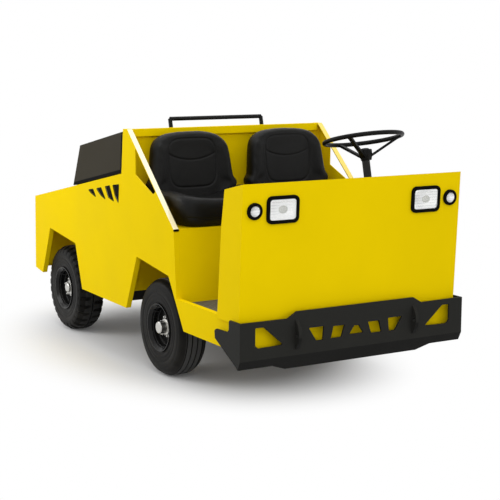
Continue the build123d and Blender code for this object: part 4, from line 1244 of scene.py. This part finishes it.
def make_horn_button():
    up = Vector((0, sin(COLUMN_TILT), cos(COLUMN_TILT)))
    button = turned(HORN_BUTTON, WHEEL_TOP - up * 0.058, up, 40)
    make_piece("horn_button", button, "wheel_grip", "steering_wheel")


def make_tail_lenses():
    face_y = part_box("tail_lamps")[1][1]
    rings = [(0.0198 + 0.0012 * (k % 2), 0.0488 - 0.0488 * k / 16) for k in range(17)]
    lens = [(0.0, 0.0492), (0.018, 0.0492)] + rings
    places = [Vector((x, face_y, TAIL_LAMP_Z)) - TAIL_LEAN * TAIL_LAMP_DEPTH
              for x in (-TAIL_LAMP_X, TAIL_LAMP_X)]
    lenses, trims = [[turned(profile, at, TAIL_LEAN, 64) for at in places]
                     for profile in (lens, TAIL_TRIM)]
    make_piece("tail_lenses", joined(*lenses), "tail_red", replaces=("tail_lamps",), sharp=50)
    make_piece("tail_lamp_rings", joined(*trims), "lamp_trim")


def make_pedal_ribs():
    low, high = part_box("pedals")
    ribs = []
    for x, width in PEDALS:
        top = Vector((x, high[1], high[2] - 0.008))
        half = width / 2
        profile = [(-half + 0.004, 0.0), (-half + 0.005, 0.0028), (half - 0.005, 0.0028),
                   (half - 0.004, 0.0)]
        for k in range(RIBS):
            at = top + PEDAL_DOWN * (0.010 + RIB_STEP * k) + PEDAL_OUT * 0.0005
            ribs.append(turned(profile, at, (1, 0, 0), 8))
    make_piece("pedal_ribs", joined(*ribs), "dash_black")


def make_edge_feet():
    """Small black blocks at the lower ends of the sloping side edges."""
    feet = [bar((x - 0.0155, -0.6670, 0.8375), (x + 0.0155, -0.6600, 0.8490), 0.0025)
            for x in FOOT_X]
    make_piece("edge_feet", joined(*feet), "lamp_trim")


make_horn_button()
make_tail_lenses()
make_pedal_ribs()
make_edge_feet()
print("fittings ready")

# %% [markdown]
# ## Vent rims, vent shade sheets and hood strips
# The slanted vents are rimmed in black and closed by a black sheet just inside the side, as
# painted shade for the shaded walls and dark inside of each opening, so they read as dark
# slots from any side. The hood has a black strip along the lower edge of each flank and up
# its front edge. All are flat outlines in the side plane, given a small thickness.

# %% Vent rims, vent shade sheets and hood strips
# Rear top, front top, front bottom, rear bottom of each vent as (y, z) in millimetres
VENTS = (
    ((436, 950), (378, 959), (343, 923), (400, 937)),
    ((319, 969), (262, 979), (207, 923), (262, 938)),
    ((197, 992), (142, 1002), (89, 923), (157, 938)),
    ((92, 1009), (15, 1020), (25, 922), (67, 958)),
)
# The hood's flank: its front bottom, rear bottom and front top corners
HOOD_LOW, HOOD_REAR, HOOD_TOP = (-23, 1094), (687, 955.4), (-43, 1327)
# Inner and outer X of each layer, in metres
SHADE_RIM_X, SHADE_SHEET_X, HOOD_STRIP_X = (0.6495, 0.6512), (0.6478, 0.6488), (0.6445, 0.6465)
SHADE_RIM_WIDTH, SHADE_SHEET_LAP = 4.5, 1.0


def grown(outline, by):
    """Three points for each corner of a convex outline: its rounded offset outward."""
    points = [Vector(p) for p in outline]
    middle = sum(points, Vector((0, 0))) / len(points)
    outs = []
    for a, b in zip(points, points[1:] + points[:1]):
        out = Vector((b.y - a.y, a.x - b.x)).normalized()
        outs.append(out if out.dot(a - middle) > 0 else -out)
    corners = []
    for p, n0, n1 in zip(points, [outs[-1]] + outs[:-1], outs):
        corners += [p + by * n0, p + by * (n0 + n1).normalized(), p + by * n1]
    return corners


def side_outline(outline, x):
    return [Vector((x, p[0] / 1000, p[1] / 1000)) for p in outline]


def side_plate(outline, layer, side):
    """A flat outline in the side plane made thick."""
    return prism(*[side_outline(outline, side * x) for x in layer])


def side_ring(hole, by, layer, side):
    """The rim between a hole and its rounded offset, made thick."""
    outer = grown(hole, by)
    count, per_corner = len(outer), len(outer) // len(hole)
    verts = [v for outline in (outer, hole) for x in layer
             for v in side_outline(outline, side * x)]
    out_near, out_far, in_near, in_far = 0, count, 2 * count, 2 * count + len(hole)
    faces = []
    for i in range(count):
        j = (i + 1) % count
        a, b = i // per_corner, j // per_corner
        faces.append((i, j, out_far + j, out_far + i))
        for outside, inside in ((out_near, in_near), (out_far, in_far)):
            face = (outside + i, outside + j, inside + b, inside + a)
            faces.append(face if a != b else face[:3])
        if a != b:
            faces.append((in_near + a, in_near + b, in_far + b, in_far + a))
    return verts, faces


def make_vent_shade_rims():
    # Painted shade: black rims round each vent and a black sheet just inside it darken the
    # openings.
    shade_rims, shade_sheets = [], []
    for side in (-1, 1):
        for vent in VENTS:
            shade_rims.append(side_ring(vent, SHADE_RIM_WIDTH, SHADE_RIM_X, side))
            shade_sheets.append(side_plate(grown(vent, SHADE_SHEET_LAP), SHADE_SHEET_X, side))
    make_piece("vent_shade_rims", joined(*shade_rims), "lamp_trim")
    make_piece("vent_shade_sheets", joined(*shade_sheets), "lamp_trim")


def make_hood_edge_strips():
    # Black strips along the lower and front edges of each hood flank.
    (y0, z0), (y1, z1), (y2, z2) = HOOD_LOW, HOOD_REAR, HOOD_TOP
    low = ((y0 + 2, z0 + 1), (y1 - 4, z1 + 1.5), (y1 - 13, z1 + 20), (y0 + 1, z0 + 19))
    front = ((y0 + 1, z0 + 19), (y0 + 23, z0 + 15), (y2 + 23, z2 - 7), (y2 + 1, z2 - 2.5))
    forms = [side_plate(outline, HOOD_STRIP_X, side) for side in (-1, 1) for outline in (low, front)]
    make_piece("hood_edge_strips", joined(*forms), "lamp_trim", "hood")


make_vent_shade_rims()
make_hood_edge_strips()
print("vent edging and hood seal ready")
